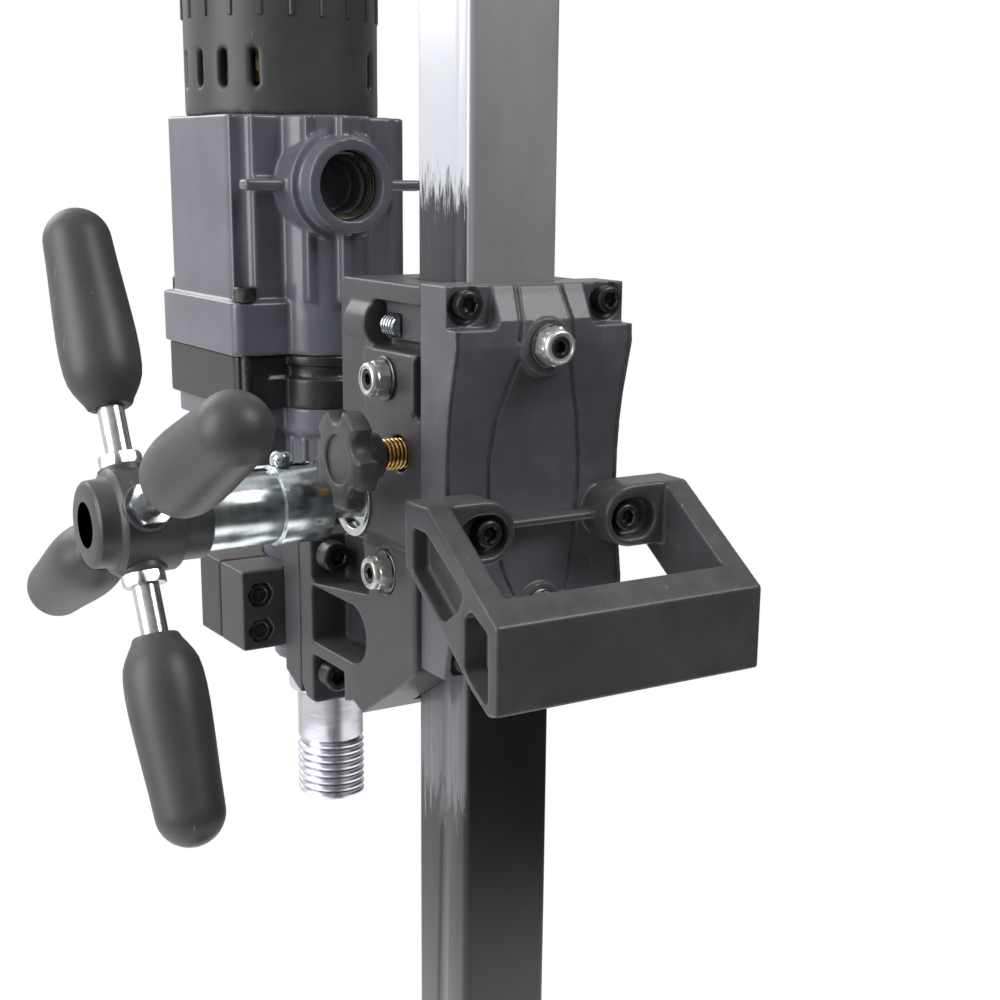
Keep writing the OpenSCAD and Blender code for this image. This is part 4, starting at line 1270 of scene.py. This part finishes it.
class RingOf(NodeTree):
    """Sets copies of a prototype round a circle, each facing outwards."""

    def __init__(self) -> None:
        """Builds the tree."""
        super().__init__("ring_of_parts", [("Prototype", "NodeSocketObject"),
                                           ("Count", "NodeSocketInt"), ("Radius", "NodeSocketFloat"),
                                           ("Step", "NodeSocketFloat"),
                                           ("Material", "NodeSocketMaterial")])
        info = self.add("GeometryNodeObjectInfo", {}, {"Object": self.given("Prototype")})
        ring = self.add("GeometryNodeMeshCircle", {}, {"Vertices": self.given("Count"),
                                                       "Radius": self.given("Radius")})
        index = self.add("GeometryNodeInputIndex", {}, {})
        angle = self.add("ShaderNodeMath", {"operation": "MULTIPLY"}, {0: index.outputs[0],
                                                                      1: self.given("Step")})
        turn = self.add("ShaderNodeCombineXYZ", {}, {"Z": angle.outputs[0]})
        put = self.add("GeometryNodeInstanceOnPoints", {},
                       {"Points": ring.outputs[0], "Instance": info.outputs["Geometry"],
                        "Rotation": turn.outputs[0]})
        self.close(put.outputs[0])

    def spread(self, prototype: bpy.types.Mesh, count: int, radius: float, place: Matrix,
               finish: Any) -> bpy.types.Mesh:
        """Copies a prototype round a circle.

        Args:
            prototype: the piece, facing +X from the circle.
            count: number of copies.
            radius: radius of the circle, in metres.
            place: frame of the circle, local Z along its axis.
            finish: finish that the tree sets.

        Returns:
            One mesh with all copies.
        """
        model = new_object("prototype", prototype)
        mesh = self.run(bpy.data.meshes.new("start"),
                        {"Prototype": model, "Count": count, "Radius": radius,
                         "Step": 2 * math.pi / count, "Material": PALETTE.of(finish)})
        bpy.data.objects.remove(model)
        mesh.transform(place)
        return mesh


def block(low: Colour, high: Colour, chamfer: float = 0.0) -> bpy.types.Mesh:
    """Rectangular bar with chamfered long edges, given by its corners in millimetres."""
    def fill(work: bmesh.types.BMesh) -> None:
        """Adds the bar."""
        made = bmesh.ops.create_cube(work, size=1.0)
        for vert in made["verts"]:
            vert.co = Vector((low[i] + (vert.co[i] + 0.5) * (high[i] - low[i])) * MM for i in range(3))
        if chamfer > 0.0:
            bmesh.ops.bevel(work, geom=work.edges[:], offset=chamfer * MM, segments=1,
                            affect="EDGES")
    return mesh_of(fill, "block")


@dataclass
class FeedHandle:
    """Capstan hub with four rods, each in a jam nut and with a pear grip."""

    hub_r: float = 20.0
    rod_r: float = 5.0
    rod_end: float = 70.0
    ball_r: float = 12.9
    nut_seat: float = 20.4
    nut_h: float = 4.6
    nut_across: float = 15.0
    reach: float = 110.0
    first: float = 25.6
    rods: int = 4

    def rod_frames(self) -> list[Matrix]:
        """Frames at the hub's middle, local Z along each rod."""
        hub = centre("spokes")
        frames = []
        for k in range(self.rods):
            tilt = math.radians(90.0 - self.first + 360.0 / self.rods * k)
            frames.append(Matrix.Translation(hub) @ Matrix.Rotation(tilt, 4, "X"))
        return frames

    def grip(self) -> bpy.types.Mesh:
        """One grip: pear outline from the collar at the rod to the round end."""
        r = self.rod_r + 0.05
        outline = [(60.0, r), (44.6, r), (44.0, r + 0.6), (44.0, 7.9), (44.5, 8.6), (46.5, 9.5),
                   (49.0, 11.1), (52.0, 12.8), (55.0, 14.0), (59.0, 14.7), (65.0, 15.05),
                   (72.0, 15.0), (80.0, 14.6), (90.0, 14.0), (100.0, 13.35)]
        for k in range(13):
            bend = math.radians(7.5 * k)
            outline.append((self.reach + self.ball_r * math.sin(bend), self.ball_r * math.cos(bend)))
        rings = [(height, circle(max(radius, 0.3))) for height, radius in outline]
        return mesh_of(lambda work: Turned(rings, count=64).into(work, Matrix()), "grip")

    def build(self, setter: SetOut) -> list[bpy.types.Object]:
        """Builds the hub, the rods with their nuts, and the grips.

        Args:
            setter: the tree that copies the prototypes.

        Returns:
            The pieces.
        """
        frames = self.rod_frames()
        seat, top = self.nut_seat, self.nut_seat + self.nut_h
        rod = Turned([(10.0, circle(3.0)), (10.0, circle(self.rod_r)),
                      (self.rod_end - 0.8, circle(self.rod_r)),
                      (self.rod_end, circle(self.rod_r - 0.8))], count=40)
        cut, full = hexagon(self.nut_across, 8.0), hexagon(self.nut_across, 8.5)
        nut = Turned([(seat, circle(self.rod_r)), (seat, cut), (seat + 0.6, full),
                      (top - 0.6, full), (top, cut), (top, circle(self.rod_r))],
                     count=48, tube=True)
        boss = Turned([(14.0, circle(5.0)), (14.0, circle(9.4)), (19.6, circle(9.4)),
                       (20.4, circle(8.6)), (20.4, circle(5.0))], count=40, tube=True)

        def place(shape: Turned, name: str) -> bpy.types.Mesh:
            """Mesh of one turned shape at the origin."""
            return mesh_of(lambda work: shape.into(work, Matrix()), name)
        rods = join("feed_rods", [setter.spread(place(rod, "rod"), frames, PLATED),
                                  setter.spread(place(nut, "jam_nut"), frames, NUT_ZINC)])
        settle(rods, "feed_rods", [PLATED, NUT_ZINC], ["spokes"])
        grips = new_object("pear_grips", setter.spread(self.grip(), frames, PLASTIC))
        settle(grips, "pear_grips", [PLASTIC], ["spoke_grips"], 40.0)
        low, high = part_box("capstan_hub")
        r, wide = self.hub_r, (high.x - low.x) / MM
        hub = Turned([(0.0, circle(8.6)), (0.0, circle(14.0)), (0.6, circle(15.4)), (1.4, circle(16.2)),
                      (6.0, circle(16.6)), (8.0, circle(17.4)), (9.0, circle(r - 0.7)),
                      (10.0, circle(r)), (wide - 13.0, circle(r)), (wide - 12.0, circle(r - 0.6)),
                      (wide - 11.5, circle(17.0)), (wide - 0.8, circle(17.0)), (wide, circle(16.2)),
                      (wide, circle(14.85)), (wide - 8.0, circle(14.85)), (wide - 8.0, circle(9.0)),
                      (0.0, circle(8.6))], count=96, tube=False)
        at = centre("capstan_hub")
        frame_x = Axis.X.frame(Vector((low.x, at.y, at.z)))
        body = join("capstan_casting", [
            mesh_of(lambda work: hub.into(work, frame_x), "hub"),
            setter.spread(place(boss, "boss"), frames, BLACK_CAST)])
        settle(body, "capstan_casting", [BLACK_CAST, BLACK_CAST], ["capstan_hub"])
        return [rods, grips, body]


@dataclass
class ThreadedStud:
    """Stud with a helical thread, set out on each solid of its node."""

    name: str
    node: str
    axis: Axis
    core_r: float
    crest_r: float
    pitch: float
    finish: Finish
    slot: str

    def build(self, coil: Coil) -> bpy.types.Object:
        """Builds the studs.

        Args:
            coil: the tree that sweeps the ridge.

        Returns:
            The piece.
        """
        meshes = []
        for low, high in solids(self.node):
            way = Vector(self.axis.value)
            length = sum(abs(way[i]) * (high[i] - low[i]) for i in range(3)) / MM
            place = seat_frame((low, high), self.axis, length)
            core = Turned([(0.0, circle(self.core_r)), (length - 0.6, circle(self.core_r)),
                           (length, circle(self.core_r - 0.6))], count=32)
            meshes.append(mesh_of(lambda work: core.into(work, place), "core"))
            ridge = (self.crest_r - self.core_r) * 0.75
            turns = (length - 2.5 * ridge - 0.8) / self.pitch
            wind = coil.run(bpy.data.meshes.new("start"),
                            {"Radius": (self.crest_r - ridge) * MM, "Turns": turns,
                             "Length": turns * self.pitch * MM, "Section": ridge * MM, "Steps": 32,
                             "Material": PALETTE.of(self.finish)})
            wind.transform(place @ Matrix.Translation(Vector((0, 0, ridge * 1.2 * MM))))
            meshes.append(wind)
        obj = join(self.name, meshes)
        return settle(obj, self.name, [self.finish] * len(meshes), [self.node])


@dataclass
class Wheels:
    """Transport wheels: rubber tyre with tread blocks on a ribbed plastic rim."""

    blocks: int = 36
    spokes: int = 8
    tread: float = 0.9

    def build(self, ring: RingOf) -> list[bpy.types.Object]:
        """Builds both wheels.

        Args:
            ring: the tree that sets out blocks and ribs.

        Returns:
            The wheels.
        """
        made = []
        for side, node in (("left", "wheel_left"), ("right", "wheel_right")):
            low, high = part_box(node)
            r, wide = (high.z - low.z) / 2 / MM, (high.x - low.x) / MM
            place = Axis.X.frame(Vector((low.x, (low.y + high.y) / 2, (low.z + high.z) / 2)))
            tyre = Turned([(3.0, circle(r - 9.0)), (1.0, circle(r - 8.0)), (0.6, circle(r - 6.0)),
                           (0.8, circle(r - 3.5)), (2.0, circle(r - 1.8)),
                           (4.5, circle(r - self.tread)),
                           (wide - 4.5, circle(r - self.tread)), (wide - 2.0, circle(r - 1.8)),
                           (wide - 0.8, circle(r - 3.5)), (wide - 0.6, circle(r - 6.0)),
                           (wide - 1.0, circle(r - 8.0)), (wide - 3.0, circle(r - 9.0))],
                          count=72, tube=True)
            rim = Turned([(0.0, circle(6.1)), (0.0, circle(10.4)), (0.6, circle(11.0)),
                          (5.0, circle(11.4)), (5.4, circle(r - 11.0)), (2.2, circle(r - 9.8)),
                          (2.2, circle(r - 8.9)), (wide - 2.2, circle(r - 8.9)),
                          (wide - 2.2, circle(r - 9.8)), (wide - 5.4, circle(r - 11.0)),
                          (wide - 5.0, circle(11.4)), (wide - 0.6, circle(11.0)),
                          (wide, circle(10.4)), (wide, circle(6.1))], count=72, tube=True)
            tread = block((-1.2, -1.7, 4.0), (self.tread, 1.7, wide - 4.0), 0.3)
            rib = block((0.0, -1.2, 2.6), (r - 20.2, 1.2, wide - 2.6), 0.4)
            obj = join("wheel_" + side + "_tyre", [
                mesh_of(lambda work: tyre.into(work, place), "tyre"),
                ring.spread(tread, self.blocks, (r - self.tread) * MM, place, RUBBER),
                mesh_of(lambda work: rim.into(work, place), "rim"),
                ring.spread(rib, self.spokes, 10.8 * MM, place, PLASTIC)])
            made.append(settle(obj, obj.name, [RUBBER, RUBBER, PLASTIC, PLASTIC], [node]))
        return made


@dataclass
class MotorDetail:
    """Cooling fins round the motor housing."""

    fins: int = 20
    span: tuple[float, float] = (0.27, 0.78)

    def build(self, ring: RingOf) -> list[bpy.types.Object]:
        """Builds the ring of fins.

        Args:
            ring: the tree that sets them out.

        Returns:
            The fins.
        """
        low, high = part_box("motor_housing")
        axis = centre("armature")
        height = (high.z - low.z) / MM
        radius = (high.y - low.y) / 2
        place = Matrix.Translation(Vector((axis.x, axis.y, low.z)))
        foot, head = (height * part for part in self.span)
        fin = block((-1.2, -1.1, foot), (0.9, 1.1, head), 0.5)
        mesh = ring.spread(fin, self.fins, radius, place, PLASTIC)
        obj = new_object("motor_fins", mesh)
        return [settle(obj, "motor_fins", [PLASTIC], (), 32.0, "motor_housing")]


@dataclass
class Stage:
    """Floor, soft lights and the camera."""

    lens: float = 58.07
    shift: tuple[float, float] = (-0.0143, 0.0807)
    eye: Colour = (-0.326, -0.532, 0.660)
    yaw: float = -32.6
    pitch: float = 14.3
    roll: float = 0.7
    floor_half: float = 0.9
    floor_drop: float = 0.0005
    bright_side: Colour = (-0.62, 0.72, 0.3)
    dim: float = 0.06
    bright: float = 0.85

    def camera(self) -> bpy.types.Object:
        """Sets up the camera.

        Returns:
            The camera.
        """
        yaw, pitch, roll = (math.radians(v) for v in (self.yaw, self.pitch, self.roll))
        back = Vector((math.sin(yaw) * math.cos(pitch), -math.cos(yaw) * math.cos(pitch),
                       math.sin(pitch)))
        right = Vector((math.cos(yaw), math.sin(yaw), 0.0))
        up = back.cross(right)
        across = right * math.cos(roll) + up * math.sin(roll)
        upright = up * math.cos(roll) - right * math.sin(roll)
        data = bpy.data.cameras.new("camera")
        data.lens = self.lens
        data.shift_x, data.shift_y = self.shift
        data.clip_start, data.clip_end = 0.01, 50.0
        camera = bpy.data.objects.new("camera", data)
        bpy.context.scene.collection.objects.link(camera)
        turn = Matrix((across, upright, back)).transposed()
        camera.matrix_world = Matrix.Translation(Vector(self.eye)) @ turn.to_4x4()
        bpy.context.scene.camera = camera
        return camera

    def light(self, name: str, place: Colour, target: Colour, size: float, power: float,
              tall: float = 1.0) -> None:
        """Adds a soft light.

        Args:
            name: its name.
            place: where it stands.
            target: where it points.
            size: width of its face.
            power: power in watts.
            tall: height over width.
        """
        data = bpy.data.lights.new(name, "AREA")
        data.shape = "RECTANGLE"
        data.size, data.size_y = size, size * tall
        data.energy = power
        lamp = bpy.data.objects.new(name, data)
        bpy.context.scene.collection.objects.link(lamp)
        lamp.location = place
        lamp.rotation_euler = (Vector(target) - Vector(place)).to_track_quat("-Z", "Y").to_euler()

    def build(self) -> None:
        """Lays the floor, sets the lights and the camera."""
        floor = new_object("floor", mesh_of(lambda work: bmesh.ops.create_grid(
            work, x_segments=2, y_segments=2, size=self.floor_half), "floor"))
        floor.data.transform(Matrix.Translation(Vector((0, 0, -self.floor_drop))))
        floor.data.materials.append(PALETTE.of(FloorFade()))
        self.sky()
        bpy.context.scene.view_settings.view_transform = "Standard"
        self.light("left_softbox", (-1.6, 0.1, 1.1), (0.0, 0.0, 0.6), 1.0, 24.0, 1.4)
        self.light("top_softbox", (0.9, -1.2, 1.9), (0.0, 0.0, 0.58), 0.9, 22.0)
        self.light("rear_softbox", (-0.5, 1.6, 1.5), (0.0, 0.1, 0.6), 1.0, 12.0)
        self.camera()

    def sky(self) -> None:
        """Pale surround that is bright to the left and behind, and dim towards the front."""
        world = bpy.data.worlds.new("studio")
        world.use_nodes = True
        tree = world.node_tree
        sky = tree.nodes["Background"]
        way = tree.nodes.new("ShaderNodeTexCoord")
        dot = tree.nodes.new("ShaderNodeVectorMath")
        dot.operation = "DOT_PRODUCT"
        dot.inputs[1].default_value = self.bright_side
        tree.links.new(way.outputs["Generated"], dot.inputs[0])
        span = tree.nodes.new("ShaderNodeMapRange")
        for key, value in {"From Min": -0.7, "From Max": 0.6, "To Min": self.dim,
                           "To Max": self.bright}.items():
            span.inputs[key].default_value = value
        tree.links.new(dot.outputs["Value"], span.inputs["Value"])
        ray = tree.nodes.new("ShaderNodeLightPath")
        pick = tree.nodes.new("ShaderNodeMix")
        pick.inputs["B"].default_value = 1.0
        tree.links.new(ray.outputs["Is Camera Ray"], pick.inputs["Factor"])
        tree.links.new(span.outputs["Result"], pick.inputs["A"])
        sky.inputs["Color"].default_value = (1.0, 1.0, 1.0, 1.0)
        tree.links.new(pick.outputs["Result"], sky.inputs["Strength"])
        bpy.context.scene.world = world


@dataclass
class Carriage:
    """Carriage castings, cover, grip and their fasteners."""

    def build(self, setter: SetOut, coil: Coil) -> None:
        """Builds the carriage.

        Args:
            setter: the tree that sets out fasteners.
            coil: the tree that sweeps threads.
        """
        for piece in (
            Casting("carriage_casting", "carriage_body", BLACK_CAST, "black_cast", 0.8, 4),
            Casting("cover_casting", "carriage_cover", COVER_CAST_PAINTED_LIGHT, "black_cast", 0.45, 4),
            GripCasting("grip_casting", "grip_handle", GRIP_CAST, "black_cast", 0.7, 14),
            Casting("bracket_casting", "mount_bracket", BLACK_CAST, "black_cast", 0.8, 4),
            Casting("clamp_cap_casting", "clamp_cap", BLACK_ZINC_CAST, "black_cast", 0.8, 4),
        ):
            piece.build()
        for screws in (
            SocketScrews("cover_screw_set", "cover_screws", 5.2, 6.0, 5.0, 3.0, 28.0, axis=Axis.NY),
            SocketScrews("grip_screw_set", "grip_screws", 5.2, 6.0, 5.0, 2.6, 24.0, axis=Axis.NY),
            SocketScrews("mount_screw_set", "mount_screws", 6.5, 8.0, 6.0, 3.95, 28.0, axis=Axis.NY),
            SocketScrews("clamp_bolt_set", "clamp_bolts", 5.0, 6.0, 5.0, 3.0, 49.0, axis=Axis.Y),
        ):
            screws.build(setter)
        hexa, low_hex = hexagon(9.9, 5.6), hexagon(9.9, 5.0)
        PlainRings("clamp_nut_set", "clamp_nuts", [(0.0, circle(3.0)), (0.0, low_hex), (0.4, hexa),
                   (4.0, hexa), (4.4, low_hex), (4.4, circle(3.6)), (4.0, circle(3.0))],
                   SCREW_BLACK, "black_screw", Axis.NY, back=4.4).build(setter)
        big, low_big = hexagon(11.4, 6.5), hexagon(11.4, 5.7)
        PlainRings("pad_bolt_set", "pad_bolt", [(0.0, circle(8.0)), (1.2, circle(8.0)),
                   (1.5, circle(7.6)), (1.5, circle(5.9)), (1.5, low_big), (1.9, big), (5.7, big),
                   (6.5, low_big), (6.5, circle(4.6)), (6.2, circle(4.0)), (6.2, circle(0.3))],
                   BARE_STEEL, "steel", tube=False, back=6.5).build(setter)
        AdjusterSet().build(setter)
        Machined("boss_double_ring", "boss_ring", PLATED, "chrome", 0.3).build()
        ThreadedStud("pocket_studs", "side_stud", Axis.Y, 3.7, 4.3, 2.0, PLATED, "steel").build(coil)


@dataclass
class Drill:
    """Gearbox, neck, motor, handle, water ring and spindle."""

    def build(self, setter: SetOut, coil: Coil, ring: RingOf) -> None:
        """Builds the drill.

        Args:
            setter: the tree that sets out fasteners.
            coil: the tree that sweeps threads.
            ring: the tree that sets out fins.
        """
        for piece in (
            Casting("gearbox_casting", "gearbox_housing", GREY_PAINT, "grey_paint", 0.9, 4),
            Casting("gear_case_casting", "gear_case", CASE_BLACK, "gloss_black", 0.8, 4),
            Casting("neck_casting", "spindle_neck", GREY_PAINT, "grey_paint", 0.7, 3),
            Casting("motor_shell", "motor_housing", PLASTIC, "plastic", 1.1, 6),
            Casting("top_handle_shell", "top_handle", PLASTIC, "plastic", 0.9, 12),
            Casting("trigger_moulding", "switch_trigger", KNOB_PLASTIC, "plastic", 0.5, 5),
            Casting("selector_moulding", "gear_selector", KNOB_PLASTIC, "plastic", 0.5, 4),
            Casting("tap_moulding", "tap_lever", RED_COAT, "red_paint", 0.4, 4),
        ):
            piece.build()
        Machined("water_ring", "water_inlet", BRASS, "brass", 0.4).build()
        Machined("brush_cap_pair", "brush_caps", PLASTIC, "plastic", 0.4).build()
        Machined("gland_nut", "cable_gland", PLASTIC, "plastic", 0.4).build()
        SocketScrews("housing_bolt_set", "housing_bolts", 4.8, 6.5, 4.0, 2.5, 46.0,
                     axis=Axis.Z).build(setter)
        PlainRings("boss_seal_ring", "boss_seal", [(0.0, circle(12.4)), (0.0, circle(14.9)),
                   (5.4, circle(14.9)), (6.0, circle(14.2)), (5.6, circle(13.6)), (4.4, circle(13.4)),
                   (4.0, circle(13.0)), (4.2, circle(12.4)), (3.6, circle(11.9)), (2.8, circle(11.8))],
                   GREASE, "rubber", Axis.NY, count=72, back=6.0).build(setter)
        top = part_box("carriage_cover")[1].z
        Spindle().build(coil, top)
        MotorDetail().build(ring)


@dataclass
class FeedAndLock:
    """Feed shaft, sliding hub, handle and the sprung lock screw."""

    def build(self, setter: SetOut, wire: Coil, ridge: Coil) -> None:
        """Builds the feed gear and the lock.

        Args:
            setter: the tree that sets out repeated parts.
            wire: the tree that winds the spring.
            ridge: the tree that sweeps threads.
        """
        Machined("slotted_sleeve", "hub_sleeve", HUB_PLATE, "chrome", 0.5, 3).build()
        Machined("sliding_tube", "hub_tube", HUB_PLATE, "chrome", 0.4).build()
        PlainRings("dome_screw", "hub_screw", [(-8.0, circle(3.0)), (0.0, circle(3.0)),
                   (0.0, circle(4.2)), (0.3, circle(4.35)), (2.4, circle(4.3)), (3.7, circle(3.8)),
                   (4.6, circle(3.0)), (5.0, circle(2.1)), (5.0, hexagon(3.1)), (3.2, hexagon(3.0)),
                   (2.8, circle(0.3))], PLATED, "chrome", Axis.Z, tube=False, back=5.0).build(setter)
        FeedHandle().build(setter)
        knob = LockKnob()
        knob.build()
        knob.spring(wire)
        PlainRings("lock_washer_disc", "lock_washer", [(0.0, circle(4.1)), (0.0, circle(6.3)),
                   (0.2, circle(6.6)), (0.8, circle(6.6)), (1.0, circle(6.3)), (1.0, circle(4.1))],
                   PLATED, "steel", Axis.NX, back=1.0).build(setter)
        ThreadedStud("lock_stud", "knob_stud", Axis.NX, 3.4, 4.0, 1.25, BARE_STEEL,
                     "steel").build(ridge)


@dataclass
class Stand:
    """Base plate, column, rack, braces, wheels and levelling screws."""

    def build(self, setter: SetOut, ring: RingOf) -> None:
        """Builds the stand.

        Args:
            setter: the tree that sets out fasteners.
            ring: the tree that sets out tread blocks.
        """
        Machined("column_square_tube", "column_tube", ColumnPaintedReflection(), "gloss_black", 0.35).build()
        Machined("toothed_rack", "rack", BARE_STEEL, "steel", 0.25, 1).build()
        Machined("floor_plate", "base_plate", BLACK_ZINC_CAST, "black_cast", 0.9).build()
        Machined("flat_braces", "struts", BLACK_ZINC_CAST, "black_cast", 0.6).build()
        Machined("wheel_axle", "axle", BARE_STEEL, "steel", 0.6).build()
        Casting("foot_casting", "column_foot", BLACK_CAST, "black_cast", 1.0, 5).build()
        Casting("cap_moulding", "column_cap", PLASTIC, "plastic", 0.7, 4).build()
        Machined("brace_bolt_pair", "strut_bolts", NUT_ZINC, "steel", 0.5).build()
        for corner in ("fl", "fr", "bl", "br"):
            Machined("levelling_screw_" + corner, "level_" + corner, BARE_STEEL, "steel",
                     0.35).build()
        SocketScrews("foot_bolt_set", "foot_bolts", 6.5, 8.0, 6.0, 4.0, 18.0, BARE_STEEL, "steel",
                     axis=Axis.Z).build(setter)
        Wheels().build(ring)


PALETTE_NODES: dict[str, Finish] = {"bearings": PLATED, "pinion_shaft": BARE_STEEL, "armature": BRASS,
                                    "lay_gear": BARE_STEEL, "guide_pads": BRASS}


def dress_nodes() -> None:
    """Gives each node that is still shown its finish."""
    for name, finish in PALETTE_NODES.items():
        node = frame["nodes"][name]
        node.data.materials.clear()
        node.data.materials.append(PALETTE.of(finish))
        LOG.info("%s: carried over", name)


def main() -> None:
    """Builds the rig and the stage."""
    logging.basicConfig(level=logging.INFO, format="%(message)s")
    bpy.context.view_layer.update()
    Stage().build()
    setter, ring = SetOut(), RingOf()
    wire, ridge = Coil(False), Coil(True)
    Stand().build(setter, ring)
    Carriage().build(setter, ridge)
    Drill().build(setter, ridge, ring)
    FeedAndLock().build(setter, wire, ridge)
    dress_nodes()


if __name__ == "__main__":
    main()
